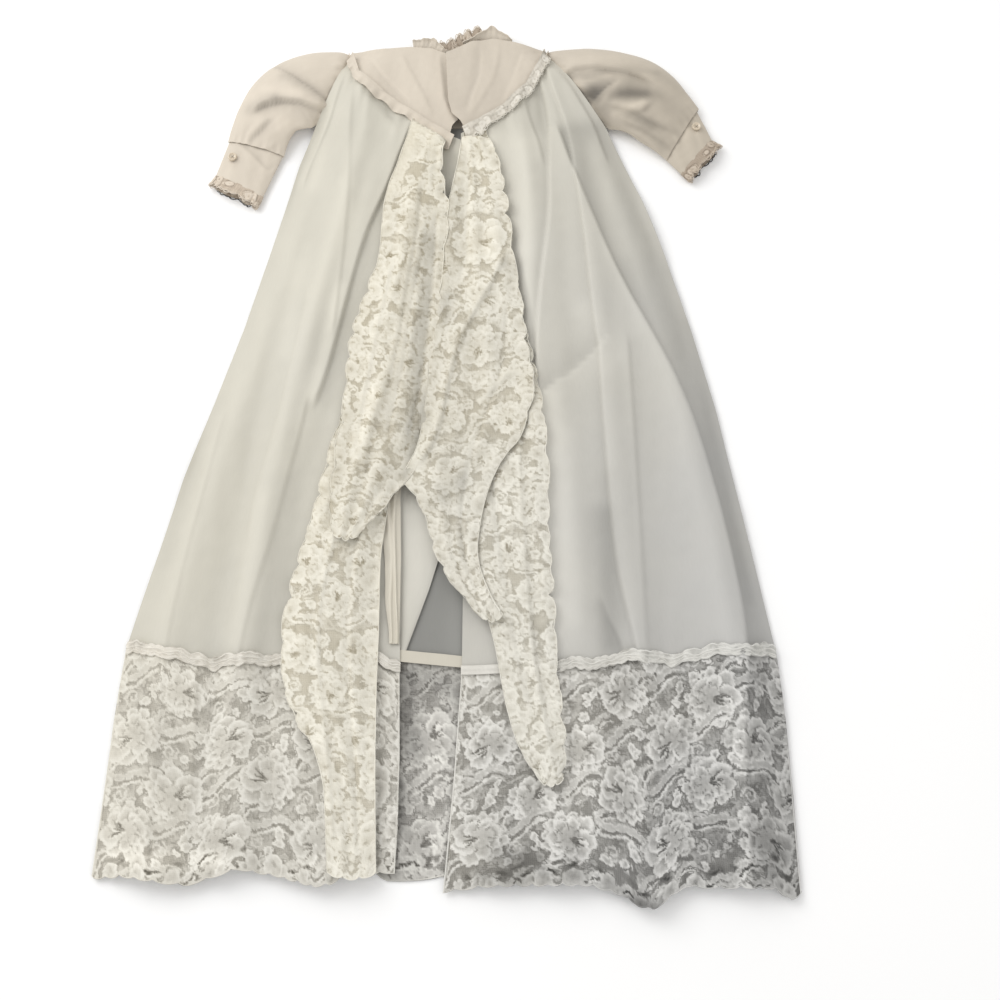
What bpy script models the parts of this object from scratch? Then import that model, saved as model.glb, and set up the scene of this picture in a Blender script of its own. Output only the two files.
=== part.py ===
"""Open-front christening gown, laid flat face up with its back on the floor.

Lengths are in metres. While it is modelled, x runs across the gown from its centre front,
y runs up to the neck and z = 0 is the floor. The last step moves the finished pieces so that
the middle of their common box stands over the origin.
"""
import math
from collections import namedtuple

import bmesh
import bpy
import numpy as np

# Cloth and clearances
CLOTH = 0.0015
LACE = 0.0012
TRIM = 0.0010
GAP = 0.0003
SEAM = 0.0006           # gap in plan between two panels that are sewn edge to edge
ON_PANEL = 0.0009       # air under a trim that lies on a wavy panel
UNDER_RUFFLE = 0.0034   # air under the lowest ruffle, which also clears the hem heading
BETWEEN_RUFFLES = 0.0030

# How far the fronts stand off the back panel
REST = CLOTH + GAP
LACE_EDGE_LOFT = 0.0085
LOFT_HEM = 0.0100
LOFT_CHEST = 0.0095
LOFT_NECK = 0.0070
FREE_EDGE_LOFT = 0.25   # part of the loft that is left at a free front edge
NECK_EDGE_LOFT = 0.85   # and where the yokes cross
SIDE_ROLL = 0.036       # width of the round side of the gown
FRONT_ROLL = 0.070      # width over which a front comes down to its free edge
ARMHOLE_LIFT = 0.013
ARMHOLE_ROLL = 0.060    # width over which the front comes down from the sleeve
CROSSING_LIFT = 0.0032  # the right yoke passes over the left one

# Mesh density
SKIRT_COLUMNS = 30
YOKE_ROWS = 7
FLOUNCE_ROWS = 6
RING_POINTS = 28

# Edging
SCALLOP = 0.080
SCALLOP_DEPTH = 0.009
GATHERS = 6
GATHER_HEIGHT = 0.0014

# Where each table below gives its folds, from the chest down to the lace edge
STATIONS = (0.42, 0.30, 0.15, 0.00, -0.15, -0.36)
HEIGHT_STATIONS = (0.42, 0.15, -0.15, -0.37)

# A fold runs down a front. Its crest is at x, it falls away over left and right, and a
# negative height is a trough.
Fold = namedtuple("Fold", "name x left right height")
FOLDS = {
    "left": (
        Fold("side swell", (-0.118, -0.158, -0.202, -0.236, -0.258, -0.262), 0.028, 0.030,
             (0.001, 0.003, 0.005, 0.006)),
        Fold("band trough", (-0.108, -0.134, -0.172, -0.196, -0.212, -0.222), 0.018, 0.014,
             (-0.001, -0.003, -0.004, -0.002)),
        Fold("main ridge", (-0.084, -0.106, -0.140, -0.168, -0.188, -0.190), 0.024, 0.020,
             (0.003, 0.008, 0.008, 0.005)),
        Fold("shadow trough", (-0.056, -0.074, -0.104, -0.138, -0.160, -0.160), 0.018, 0.024,
             (-0.001, -0.0035, -0.0035, -0.002)),
        Fold("front roll", (-0.036, -0.040, -0.060, -0.082, -0.096, -0.096), 0.026, 0.026,
             (0.001, 0.003, 0.004, 0.005)),
    ),
    "right": (
        Fold("front roll", (0.040, 0.042, 0.046, 0.048, 0.052, 0.050), 0.028, 0.026,
             (0.001, 0.002, 0.002, 0.003)),
        Fold("pleat edge", (0.070, 0.082, 0.082, 0.084, 0.094, 0.108), 0.026, 0.014,
             (0.004, 0.008, 0.005, 0.006)),
        Fold("deep trough", (0.090, 0.110, 0.118, 0.132, 0.148, 0.158), 0.016, 0.018,
             (-0.001, -0.004, -0.0045, -0.003)),
        Fold("middle ridge", (0.106, 0.132, 0.148, 0.160, 0.174, 0.188), 0.018, 0.022,
             (0.004, 0.007, 0.010, 0.006)),
        Fold("soft trough", (0.122, 0.155, 0.184, 0.204, 0.218, 0.232), 0.022, 0.026,
             (-0.001, -0.003, -0.003, -0.002)),
        Fold("outer ridge", (0.138, 0.176, 0.216, 0.246, 0.268, 0.284), 0.030, 0.022,
             (0.002, 0.007, 0.009, 0.006)),
    ),
}

# Outlines of the fronts. Each is read from its first point to its last.
Front = namedtuple("Front", "sign outer free yoke hem lace_outer lace_free lace_edge")
FRONTS = {
    "left": Front(
        sign=-1,
        outer=((-0.1060, 0.4815), (-0.1375, 0.3990), (-0.1532, 0.3517), (-0.1665, 0.3010),
               (-0.2010, 0.1756), (-0.2513, 0.0201), (-0.2884, -0.1174), (-0.2960, -0.1460)),
        free=((0.0010, 0.3800), (-0.0069, 0.3178), (-0.0153, 0.2513), (-0.0288, 0.1544),
              (-0.0419, 0.0607), (-0.0440, 0.0000), (-0.0425, -0.0594), (-0.0428, -0.1630)),
        yoke=((-0.1060, 0.4815), (-0.0969, 0.4510), (-0.0759, 0.4323), (-0.0582, 0.4183),
              (-0.0271, 0.3974), (0.0010, 0.3800)),
        hem=((-0.2960, -0.1460), (-0.2605, -0.1500), (-0.2162, -0.1640), (-0.1777, -0.1590),
             (-0.1077, -0.1515), (-0.0717, -0.1500), (-0.0428, -0.1630)),
        lace_outer=((-0.2960, -0.1460), (-0.3025, -0.2114), (-0.3074, -0.2843),
                    (-0.3128, -0.3530)),
        lace_free=((-0.0428, -0.1630), (-0.0413, -0.2481), (-0.0420, -0.3111),
                   (-0.0438, -0.3510)),
        lace_edge=((-0.3128, -0.3530), (-0.2500, -0.3550), (-0.1861, -0.3500),
                   (-0.1200, -0.3560), (-0.0438, -0.3510)),
    ),
    "right": Front(
        sign=1,
        outer=((0.0990, 0.4840), (0.1570, 0.3960), (0.1905, 0.3178), (0.2138, 0.2513),
               (0.2361, 0.1756), (0.2575, 0.0916), (0.2890, -0.0691), (0.3047, -0.1507)),
        free=((0.0100, 0.3860), (0.0092, 0.3178), (0.0099, 0.2078), (0.0126, 0.1019),
              (0.0143, 0.0000), (0.0149, -0.0982), (0.0144, -0.1667)),
        yoke=((0.0990, 0.4840), (0.0908, 0.4616), (0.0783, 0.4369), (0.0546, 0.4136),
              (0.0290, 0.3974), (0.0100, 0.3860)),
        hem=((0.3047, -0.1507), (0.2549, -0.1485), (0.2083, -0.1602), (0.1585, -0.1560),
             (0.1233, -0.1630), (0.0495, -0.1667), (0.0144, -0.1667)),
        lace_outer=((0.3047, -0.1507), (0.3100, -0.2114), (0.3135, -0.2843),
                    (0.3177, -0.3680)),
        lace_free=((0.0144, -0.1667), (0.0112, -0.2299), (0.0046, -0.3022),
                   (-0.0010, -0.3640)),
        lace_edge=((0.3177, -0.3680), (0.2621, -0.3620), (0.2126, -0.3620),
                   (0.1820, -0.3770), (0.1293, -0.3610), (0.0672, -0.3600),
                   (-0.0010, -0.3640)),
    ),
}
SKIRT_ROWS = (0.0, 0.03, 0.07, 0.10, 0.13, 0.19, 0.27, 0.36, 0.46, 0.56, 0.66, 0.77, 0.88, 1.0)

# Upper edge of each front yoke, from the shoulder to the neck, and its free front edge
YOKES = {
    "left": {
        "top": ((-0.1040, 0.4850), (-0.0750, 0.4860), (-0.0420, 0.4885), (-0.0200, 0.4870),
                (0.0060, 0.4760)),
        "edge": ((0.0010, 0.3807), (0.0030, 0.4050), (0.0090, 0.4350), (0.0060, 0.4760)),
    },
    "right": {
        "top": ((0.0965, 0.4870), (0.0620, 0.4950), (0.0420, 0.4985), (0.0200, 0.4940),
                (-0.0060, 0.4790)),
        "edge": ((0.0100, 0.3867), (0.0070, 0.4080), (-0.0030, 0.4400), (-0.0060, 0.4790)),
    },
}
BACK_NECK = ((-0.104, 0.4860), (-0.075, 0.4885), (-0.042, 0.4900), (-0.012, 0.4800),
             (0.004, 0.4860), (0.018, 0.4970), (0.038, 0.5040), (0.060, 0.4970),
             (0.0965, 0.4880))

# A ruffle lies on the fronts between left and right, row by row down the gown. Its waves
# run lengthwise; layer 1 lies on the skirt and layer 2 on layer 1.
Ruffle = namedtuple("Ruffle", "side rows waves height layer")
RUFFLES = {
    "ruffle_left_outer": Ruffle("left", (
        (0.374, -0.024, -0.009), (0.300, -0.043, -0.014), (0.224, -0.062, -0.022),
        (0.150, -0.085, -0.036), (0.035, -0.109, -0.050), (-0.059, -0.134, -0.063),
        (-0.137, -0.148, -0.065), (-0.184, -0.148, -0.066), (-0.225, -0.126, -0.068),
        (-0.270, -0.104, -0.067), (-0.345, -0.098, -0.064)), 3.0, 0.0030, 1),
    "ruffle_right_outer": Ruffle("right", (
        (0.270, 0.034, 0.052), (0.187, 0.030, 0.064), (0.133, 0.026, 0.078),
        (0.095, 0.024, 0.087), (0.030, 0.024, 0.090), (-0.020, 0.032, 0.092),
        (-0.093, 0.048, 0.093), (-0.141, 0.054, 0.095), (-0.221, 0.070, 0.103),
        (-0.300, 0.096, 0.118)), 2.5, 0.0030, 1),
    "ruffle_left_inner": Ruffle("left", (
        (0.366, -0.022, -0.011), (0.300, -0.037, -0.017), (0.250, -0.050, -0.020),
        (0.187, -0.072, -0.024), (0.133, -0.090, -0.028), (0.081, -0.098, -0.032),
        (0.030, -0.102, -0.048), (-0.010, -0.108, -0.066), (-0.040, -0.104, -0.084)),
        2.5, 0.0035, 2),
    "ruffle_right_inner": Ruffle("right", (
        (0.372, 0.012, 0.026), (0.329, 0.003, 0.048), (0.273, -0.009, 0.056),
        (0.208, -0.013, 0.066), (0.154, -0.019, 0.069), (0.102, -0.021, 0.082),
        (0.050, -0.028, 0.062), (0.020, -0.043, 0.044), (-0.010, -0.020, 0.034),
        (-0.060, -0.008, 0.024), (-0.098, 0.018, 0.040), (-0.117, 0.036, 0.052)),
        3.0, 0.0040, 2),
}
RUFFLE_ROWS = 15
RUFFLE_COLUMNS = 15

# A sleeve runs from the armhole to the cuff. Each section is a flattened ring between its
# outer and its inner edge.
Section = namedtuple("Section", "outer inner height")
SLEEVES = {
    "left": (
        Section((-0.1066, 0.4815), (-0.1381, 0.3990), 0.018),
        Section((-0.1180, 0.4830), (-0.1415, 0.3952), 0.025),
        Section((-0.1476, 0.4790), (-0.1480, 0.3925), 0.029),
        Section((-0.1782, 0.4660), (-0.1560, 0.3900), 0.029),
        Section((-0.2010, 0.4450), (-0.1600, 0.3855), 0.027),
        Section((-0.2145, 0.4195), (-0.1640, 0.3780), 0.023),
        Section((-0.2222, 0.3975), (-0.1668, 0.3710), 0.018),
        Section((-0.2265, 0.3800), (-0.1690, 0.3630), 0.013),
    ),
    "right": (
        Section((0.0996, 0.4843), (0.1576, 0.3963), 0.018),
        Section((0.1118, 0.4850), (0.1610, 0.3930), 0.025),
        Section((0.1429, 0.4850), (0.1665, 0.3910), 0.029),
        Section((0.1740, 0.4800), (0.1730, 0.3890), 0.029),
        Section((0.2040, 0.4700), (0.1810, 0.3855), 0.027),
        Section((0.2260, 0.4530), (0.1910, 0.3775), 0.024),
        Section((0.2420, 0.4325), (0.2050, 0.3690), 0.019),
        Section((0.2526, 0.4180), (0.2180, 0.3590), 0.013),
    ),
}
# A sleeve fold crosses the sleeve from one place to another. Along is 0 at the armhole and 1
# at the cuff; across is 1 at the outer edge and -1 at the inner one.
SleeveFold = namedtuple("SleeveFold", "along across width height")
SLEEVE_FOLDS = {
    "left": (
        SleeveFold((0.05, 0.55), (0.35, 0.25), 0.22, -0.0045),
        SleeveFold((0.05, 0.80), (-0.35, 0.20), 0.24, 0.0035),
        SleeveFold((0.35, 0.90), (-0.75, 0.10), 0.20, -0.0035),
        SleeveFold((0.50, 0.95), (-0.55, -0.35), 0.20, 0.0020),
    ),
    "right": (
        SleeveFold((0.05, 0.70), (0.60, 0.30), 0.20, -0.0045),
        SleeveFold((0.05, 0.85), (0.15, -0.05), 0.22, 0.0035),
        SleeveFold((0.20, 0.70), (-0.35, -0.10), 0.20, -0.0035),
        SleeveFold((0.30, 0.95), (-0.65, -0.45), 0.20, 0.0030),
    ),
}
CUFF_ENDS = {
    "left": Section((-0.2395, 0.3475), (-0.1910, 0.3130), 0.0105),
    "right": Section((0.2700, 0.3835), (0.2345, 0.3445), 0.0105),
}
CUFF_LACE_LENGTH = 0.014
CUFF_LACE_WAVES = 9
BUTTON_DIAMETER = 0.009
BUTTON_HEIGHT = 0.0024
BUTTON_PLACES = {"left": (0.60, 0.42), "right": (0.62, 0.42)}

# Bands and trims
HEADING_WIDTH = 0.011
YOKE_LACE_WIDTH = 0.013
YOKE_LACE_WAVES = 7
HEM_BAND_WIDTH = 0.018
HEM_BAND_INSET = 0.045  # keeps the band's ends clear of the round sides
BACK_YOKE_SEAM = 0.398
BACK_HEM = -0.1535
BACK_LACE_ROWS = (-0.2114, -0.2843, -0.3350, -0.3500)
PLACKET_WIDTH = 0.018
PLACKET_REACH = (0.055, -0.142)
NECK_LACE_WIDTH = 0.011

# Colour as red, green, blue, then roughness
COLOURS = {
    "skirt cloth": ((0.78, 0.76, 0.68), 0.75),
    "yoke cloth": ((0.77, 0.70, 0.59), 0.72),
    "lace": ((0.80, 0.79, 0.72), 0.80),
    "aged lace": ((0.62, 0.53, 0.43), 0.82),
    "satin band": ((0.80, 0.76, 0.66), 0.55),
    "button": ((0.74, 0.64, 0.50), 0.35),
}


def clear_scene():
    for thing in list(bpy.data.objects):
        bpy.data.objects.remove(thing, do_unlink=True)


def finish_of(node, kind):
    colour, roughness = COLOURS[kind]
    material = bpy.data.materials.new(node + "_material")
    material.use_nodes = True
    shader = material.node_tree.nodes["Principled BSDF"]
    shader.inputs["Base Color"].default_value = (*colour, 1.0)
    shader.inputs["Roughness"].default_value = roughness
    shader.inputs["Metallic"].default_value = 0.0
    return material


def smooth(value):
    """Ease from 0 at 0 to 1 at 1."""
    value = min(1.0, max(0.0, value))
    return value * value * (3.0 - 2.0 * value)


def bump(distance, left, right):
    """A rounded ridge, 1 at its crest and 0 beyond its two widths."""
    width = left if distance < 0 else right
    if abs(distance) >= width:
        return 0.0
    return 0.5 * (1.0 + math.cos(math.pi * distance / width))


def along(points, part):
    """The point a given part of the way along a line of points, by length."""
    points = np.array(points)
    steps = np.hypot(*np.diff(points, axis=0).T)
    reach = np.concatenate(([0.0], np.cumsum(steps))) / steps.sum()
    return tuple(np.interp(part, reach, points[:, axis]) for axis in range(points.shape[1]))


def x_at(points, y):
    """Where a line that runs down the gown is at height y."""
    ordered = sorted((point[1], point[0]) for point in points)
    return float(np.interp(y, [row[0] for row in ordered], [row[1] for row in ordered]))


def at_stations(stations, values, y):
    return float(np.interp(-y, [-station for station in stations], values))


def patch(left, right, top, bottom, u, v):
    """A point of the panel between four edges, u across it and v down it."""
    a, b = np.array(along(left, v)), np.array(along(right, v))
    c, d = np.array(along(top, u)), np.array(along(bottom, u))
    corners = ((1 - u) * (1 - v) * np.array(top[0]) + u * (1 - v) * np.array(top[-1])
               + (1 - u) * v * np.array(bottom[0]) + u * v * np.array(bottom[-1]))
    return (1 - u) * a + u * b + (1 - v) * c + v * d - corners


def front_height(side, x, y):
    """Height of the underside of a front over the floor."""
    front = FRONTS[side]
    outer = x_at(front.outer + front.lace_outer[1:], y)
    free = x_at(front.free + front.lace_free[1:], y)
    from_side = abs(outer) - front.sign * x
    from_front = front.sign * (x - free)
    armhole_top, armpit = front.outer[0][1], front.outer[1][1]
    edge = REST
    if y > armpit:
        rise = math.sin(math.pi * min(1.0, (y - armpit) / (armhole_top - armpit)))
        edge += ARMHOLE_LIFT * rise * (1.0 - 0.75 * smooth(from_side / ARMHOLE_ROLL))
    loft = np.interp(y, (-0.36, -0.15, 0.36, 0.42, 0.49),
                     (LACE_EDGE_LOFT, LOFT_HEM, LOFT_CHEST, LOFT_NECK, LOFT_NECK))
    roll = smooth(from_side / SIDE_ROLL)
    held = FREE_EDGE_LOFT + (NECK_EDGE_LOFT - FREE_EDGE_LOFT) * smooth((y - 0.33) / 0.06)
    loft *= roll * (held + (1.0 - held) * smooth(from_front / FRONT_ROLL))
    folds = 0.0
    growth = np.interp(y, (-0.36, 0.42), (1.15, 0.6))
    for fold in FOLDS[side]:
        crest = at_stations(STATIONS, fold.x, y)
        height = at_stations(HEIGHT_STATIONS, fold.height, y)
        folds += height * bump(x - crest, fold.left * growth, fold.right * growth)
    folds *= roll * smooth((from_front + 0.004) / 0.03) * (1.0 - smooth((y - 0.42) / 0.05))
    lift = 0.0
    if side == "right":
        lift = CROSSING_LIFT * (1.0 - smooth((x - 0.014) / 0.024)) * smooth((y - 0.350) / 0.040)
    return max(REST, edge + loft + folds) + lift


def gathers(u, y, top):
    """The small waves of the skirt below its yoke seam."""
    fade = smooth((y - top + 0.16) / 0.16)
    return GATHER_HEIGHT * fade * (0.5 - 0.5 * math.cos(2 * math.pi * GATHERS * u)) \
        * math.sin(math.pi * u) ** 0.5


def solid(name, kind, lower, upper):
    """A closed sheet between two grids of points, faces outward."""
    rows, columns = len(lower), len(lower[0])
    shape = bmesh.new()
    under = [[shape.verts.new(point) for point in row] for row in lower]
    over = [[shape.verts.new(point) for point in row] for row in upper]
    for i in range(rows - 1):
        for j in range(columns - 1):
            shape.faces.new((under[i][j], under[i][j + 1], under[i + 1][j + 1], under[i + 1][j]))
            shape.faces.new((over[i][j], over[i + 1][j], over[i + 1][j + 1], over[i][j + 1]))
    rim = [(0, j) for j in range(columns - 1)]
    rim += [(i, columns - 1) for i in range(rows - 1)]
    rim += [(rows - 1, j) for j in range(columns - 1, 0, -1)]
    rim += [(i, 0) for i in range(rows - 1, 0, -1)]
    for (i, j), (k, m) in zip(rim, rim[1:] + rim[:1]):
        shape.faces.new((under[i][j], over[i][j], over[k][m], under[k][m]))
    return place(name, kind, shape)


def place(name, kind, shape):
    bmesh.ops.recalc_face_normals(shape, faces=shape.faces)
    mesh = bpy.data.meshes.new(name)
    shape.to_mesh(mesh)
    shape.free()
    mesh.shade_smooth()
    mesh.set_sharp_from_angle(angle=math.radians(50))
    mesh.materials.append(finish_of(name, kind))
    thing = bpy.data.objects.new(name, mesh)
    bpy.data.collections["christening gown"].objects.link(thing)
    return thing


def sheet(name, kind, lower, thickness):
    """A wall of even thickness over the grid of its underside."""
    upper = [[(x, y, z + thickness) for x, y, z in row] for row in lower]
    return solid(name, kind, lower, upper)


def ring(section, thickness=0.0, count=RING_POINTS, shape=None):
    """Points round a flattened tube. Its underside is flat but for its two round edges."""
    outer, inner = np.array(section.outer), np.array(section.inner)
    middle, half = (outer + inner) / 2, (outer - inner) / 2
    reach = np.hypot(*half)
    half = half * (reach - 1.3 * thickness) / reach
    height = section.height - 2 * thickness
    points = []
    for k in range(count):
        angle = 2 * math.pi * k / count
        across = math.copysign(abs(math.cos(angle)) ** 0.85, math.cos(angle))
        if math.sin(angle) >= 0:
            z = height / 2 * (1 + (1 - abs(across) ** 2.2) ** 0.6)
            z += shape(across) * (1 - across ** 2) if shape else 0.0
        else:
            z = height / 2 * max(0.0, (abs(across) - 0.72) / 0.28) ** 2
        x, y = middle + half * across
        points.append((x, y, z + thickness))
    return points


def tube(name, kind, outside, inside):
    """A closed wall between an outer and an inner row of rings, open at both ends."""
    count = len(outside[0])
    shape = bmesh.new()
    skins = []
    for rings in (outside, inside):
        skins.append([[shape.verts.new(point) for point in points] for points in rings])
    for skin in skins:
        for a, b in zip(skin, skin[1:]):
            for k in range(count):
                m = (k + 1) % count
                shape.faces.new((a[k], a[m], b[m], b[k]))
    for end in (0, -1):
        a, b = skins[0][end], skins[1][end]
        for k in range(count):
            m = (k + 1) % count
            shape.faces.new((a[k], a[m], b[m], b[k]))
    return place(name, kind, shape)


def make_front_skirt(side):
    front = FRONTS[side]
    lower = []
    for v in SKIRT_ROWS:
        row = []
        for k in range(SKIRT_COLUMNS + 1):
            u = k / SKIRT_COLUMNS
            x, y = patch(front.outer, front.free, front.yoke, front.hem, u, v)
            top = along(front.yoke, u)[1]
            row.append((x, y, front_height(side, x, y) + gathers(u, y, top)))
        lower.append(row)
    sheet("front_skirt_" + side, "skirt cloth", lower, CLOTH)


def scallop(distance):
    """How far a scalloped edge hangs below its line."""
    return SCALLOP_DEPTH * math.sqrt(abs(math.sin(math.pi * distance / SCALLOP)))


def flounce_point(side, u, v):
    front = FRONTS[side]
    hem = tuple((x, y - SEAM) for x, y in front.hem)
    x, y = patch(front.lace_outer, front.lace_free, hem, front.lace_edge, u, v)
    width = abs(front.lace_edge[0][0] - front.lace_edge[-1][0])
    y -= scallop(u * width) * max(0.0, (v - 0.8) / 0.2) * 0.9
    return x, y


def make_flounce(side):
    lower = []
    for i in range(FLOUNCE_ROWS + 1):
        v = i / FLOUNCE_ROWS
        row = []
        for k in range(SKIRT_COLUMNS + 1):
            x, y = flounce_point(side, k / SKIRT_COLUMNS, v)
            row.append((x, y, front_height(side, x, y)))
        lower.append(row)
    sheet("hem_lace_" + side, "lace", lower, LACE)


def make_heading(side):
    """The narrow scalloped strip that covers the seam of the hem lace."""
    front = FRONTS[side]
    lower = []
    for part in (0.5, 0.0, -0.5):
        row = []
        for k in range(SKIRT_COLUMNS + 1):
            x, y = along(front.hem, k / SKIRT_COLUMNS)
            x -= front.sign * 0.0008
            if part < 0:
                y -= 0.0012 * (k % 2)
            y += part * HEADING_WIDTH
            row.append((x, y, front_height(side, x, y) + CLOTH + ON_PANEL))
        lower.append(row)
    sheet("hem_heading_" + side, "lace", lower, TRIM)


def make_front_yoke(side):
    front, yoke = FRONTS[side], YOKES[side]
    seam = tuple((x, y + SEAM) for x, y in front.yoke)
    shoulder = (yoke["top"][0], seam[0])[::-1]
    lower = []
    for i in range(YOKE_ROWS + 1):
        v = i / YOKE_ROWS
        row = []
        for k in range(SKIRT_COLUMNS // 2 + 1):
            u = k / (SKIRT_COLUMNS // 2)
            x, y = patch(shoulder, yoke["edge"], seam, yoke["top"], u, v)
            row.append((x, y, front_height(side, x, y)))
        lower.append(row)
    sheet("front_yoke_" + side, "yoke cloth", lower, CLOTH)


def make_yoke_lace(side):
    """The gathered narrow lace sewn along the lower edge of a yoke."""
    front = FRONTS[side]
    lower = []
    for part in (0.35, 0.0, -0.65):
        row = []
        for k in range(SKIRT_COLUMNS + 1):
            u = k / SKIRT_COLUMNS
            x, y = along(front.yoke, 0.03 + 0.94 * u)
            wave = 0.5 - 0.5 * math.cos(2 * math.pi * YOKE_LACE_WAVES * u)
            x += front.sign * part * YOKE_LACE_WIDTH * -0.5
            y += part * YOKE_LACE_WIDTH * 0.85 - (0.0015 * wave if part < 0 else 0.0)
            z = front_height(side, x, y) + CLOTH + GATHER_HEIGHT + ON_PANEL
            row.append((x, y, z + 0.0016 * wave * (0.6 - part)))
        lower.append(row)
    sheet("yoke_lace_" + side, "lace", lower, TRIM)


def ruffle_part(ruffle, x, y):
    """How far across a ruffle a place is, from 0 to 1."""
    stations = [row[0] for row in ruffle.rows]
    left = at_stations(stations, [row[1] for row in ruffle.rows], y)
    right = at_stations(stations, [row[2] for row in ruffle.rows], y)
    return (x - left) / (right - left)


def ruffle_wave(ruffle, u, y):
    """The lengthwise waves of a ruffle, which sway a little down the gown."""
    if not 0.0 < u < 1.0:
        return 0.0
    sway = 0.35 * math.sin(9.0 * y + 2.0 * ruffle.layer)
    wave = 0.5 - 0.5 * math.cos(2 * math.pi * (ruffle.waves * u + sway))
    return ruffle.height * wave * math.sin(math.pi * u) ** 0.5


def ruffle_height(name, x, y):
    ruffle = RUFFLES[name]
    height = front_height(ruffle.side, x, y) + CLOTH + UNDER_RUFFLE
    if x < 0.012 and ruffle.side == "right":
        other = front_height("left", x, y) + CLOTH + UNDER_RUFFLE
        height += (max(other, height) - height) * smooth((0.012 - x) / 0.006)
    if ruffle.layer == 2:
        for below in RUFFLES.values():
            if below.layer == 1:
                height += ruffle_wave(below, ruffle_part(below, x, y), y)
        height += LACE + BETWEEN_RUFFLES
    return height + ruffle_wave(ruffle, ruffle_part(ruffle, x, y), y)


def make_ruffle(name):
    ruffle = RUFFLES[name]
    stations = [row[0] for row in ruffle.rows]
    lower = []
    for i in range(RUFFLE_ROWS + 1):
        y = stations[0] + (stations[-1] - stations[0]) * i / RUFFLE_ROWS
        left = at_stations(stations, [row[1] for row in ruffle.rows], y)
        right = at_stations(stations, [row[2] for row in ruffle.rows], y)
        row = []
        for k in range(RUFFLE_COLUMNS + 1):
            u = k / RUFFLE_COLUMNS
            x = left + (right - left) * u
            lip = 0.010 * math.sin(math.pi * u) * smooth((i - RUFFLE_ROWS + 2) / 2)
            row.append((x, y - lip, ruffle_height(name, x, y)))
        lower.append(row)
    sheet(name, "lace", lower, LACE)


def gown_outline(y):
    """Left and right side of the body and hem lace at height y."""
    sides = []
    for side in ("left", "right"):
        front = FRONTS[side]
        sides.append(x_at(front.outer + front.lace_outer[1:], y))
    return sides


def make_back_panel(name, kind, stations, thickness, lower_edge):
    """A flat panel of the back; lower_edge moves the last row, as on scalloped lace."""
    columns = 44 if lower_edge else 14
    lower = []
    for y in stations:
        left, right = gown_outline(y)
        row = []
        for k in range(columns + 1):
            x = left + (right - left) * k / columns
            drop = lower_edge(x) if lower_edge and y == stations[-1] else 0.0
            row.append((x, y - drop, 0.0))
        lower.append(row)
    sheet(name, kind, lower, thickness)


def make_back():
    sides = tuple(y for x, y in FRONTS["right"].outer[2:7])
    rows = (BACK_YOKE_SEAM, *sides, BACK_HEM)
    make_back_panel("back_skirt", "skirt cloth", rows, CLOTH, None)
    rows = (BACK_HEM - GAP, *BACK_LACE_ROWS)
    make_back_panel("back_lace", "lace", rows, LACE, scallop)


def make_back_yoke():
    left, right = FRONTS["left"], FRONTS["right"]
    seam_y = BACK_YOKE_SEAM + GAP
    columns = 24
    lower = []
    for i in range(4):
        v = i / 3
        row = []
        for k in range(columns + 1):
            u = k / columns
            sides = ((x_at(left.outer, seam_y), seam_y), left.outer[0])
            others = ((x_at(right.outer, seam_y), seam_y), right.outer[0])
            bottom = (sides[0], others[0])
            neck = (left.outer[0], *BACK_NECK[1:-1], right.outer[0])
            x, y = patch(sides, others, bottom, neck, u, v)
            row.append((x, y, 0.0))
        lower.append(row)
    sheet("back_yoke", "yoke cloth", lower, CLOTH)


def make_hem_band():
    """The turned-up strip inside the back hem, which shows in the front opening."""
    left, right = gown_outline(BACK_HEM)
    reach = np.linspace(left + HEM_BAND_INSET, right - HEM_BAND_INSET, 13)
    edges = (BACK_HEM + HEM_BAND_WIDTH, BACK_HEM + SEAM)
    lower = [[(x, y, REST) for x in reach] for y in edges]
    sheet("back_hem_band", "satin band", lower, TRIM)


def make_placket():
    """The doubled strip down the lower part of the left front edge."""
    lower = []
    for y in np.linspace(*PLACKET_REACH, 10):
        free = x_at(FRONTS["left"].free, y)
        row = []
        for part in (1.0, 0.66, 0.33, 0.0):
            x = free - 0.0008 - part * PLACKET_WIDTH
            row.append((x, y, front_height("left", x, y) + CLOTH + ON_PANEL))
        lower.append(row)
    sheet("placket_left", "satin band", lower, TRIM)


def make_neck_lace():
    """The narrow lace standing up behind the neck."""
    base = ((-0.010, 0.4812), (0.004, 0.4867), (0.018, 0.4977), (0.036, 0.5045))
    lower = []
    for part in (0.0, 0.5, 1.0):
        row = []
        for k in range(17):
            u = k / 16
            x, y = along(base, u)
            wave = 0.5 - 0.5 * math.cos(2 * math.pi * 4 * u)
            x -= part * NECK_LACE_WIDTH * 0.45
            y += part * NECK_LACE_WIDTH * (0.80 + 0.25 * wave) + SEAM
            row.append((x, y, part * 0.004 + part * 0.003 * wave))
        lower.append(row)
    sheet("neck_lace", "aged lace", lower, TRIM)


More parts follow.
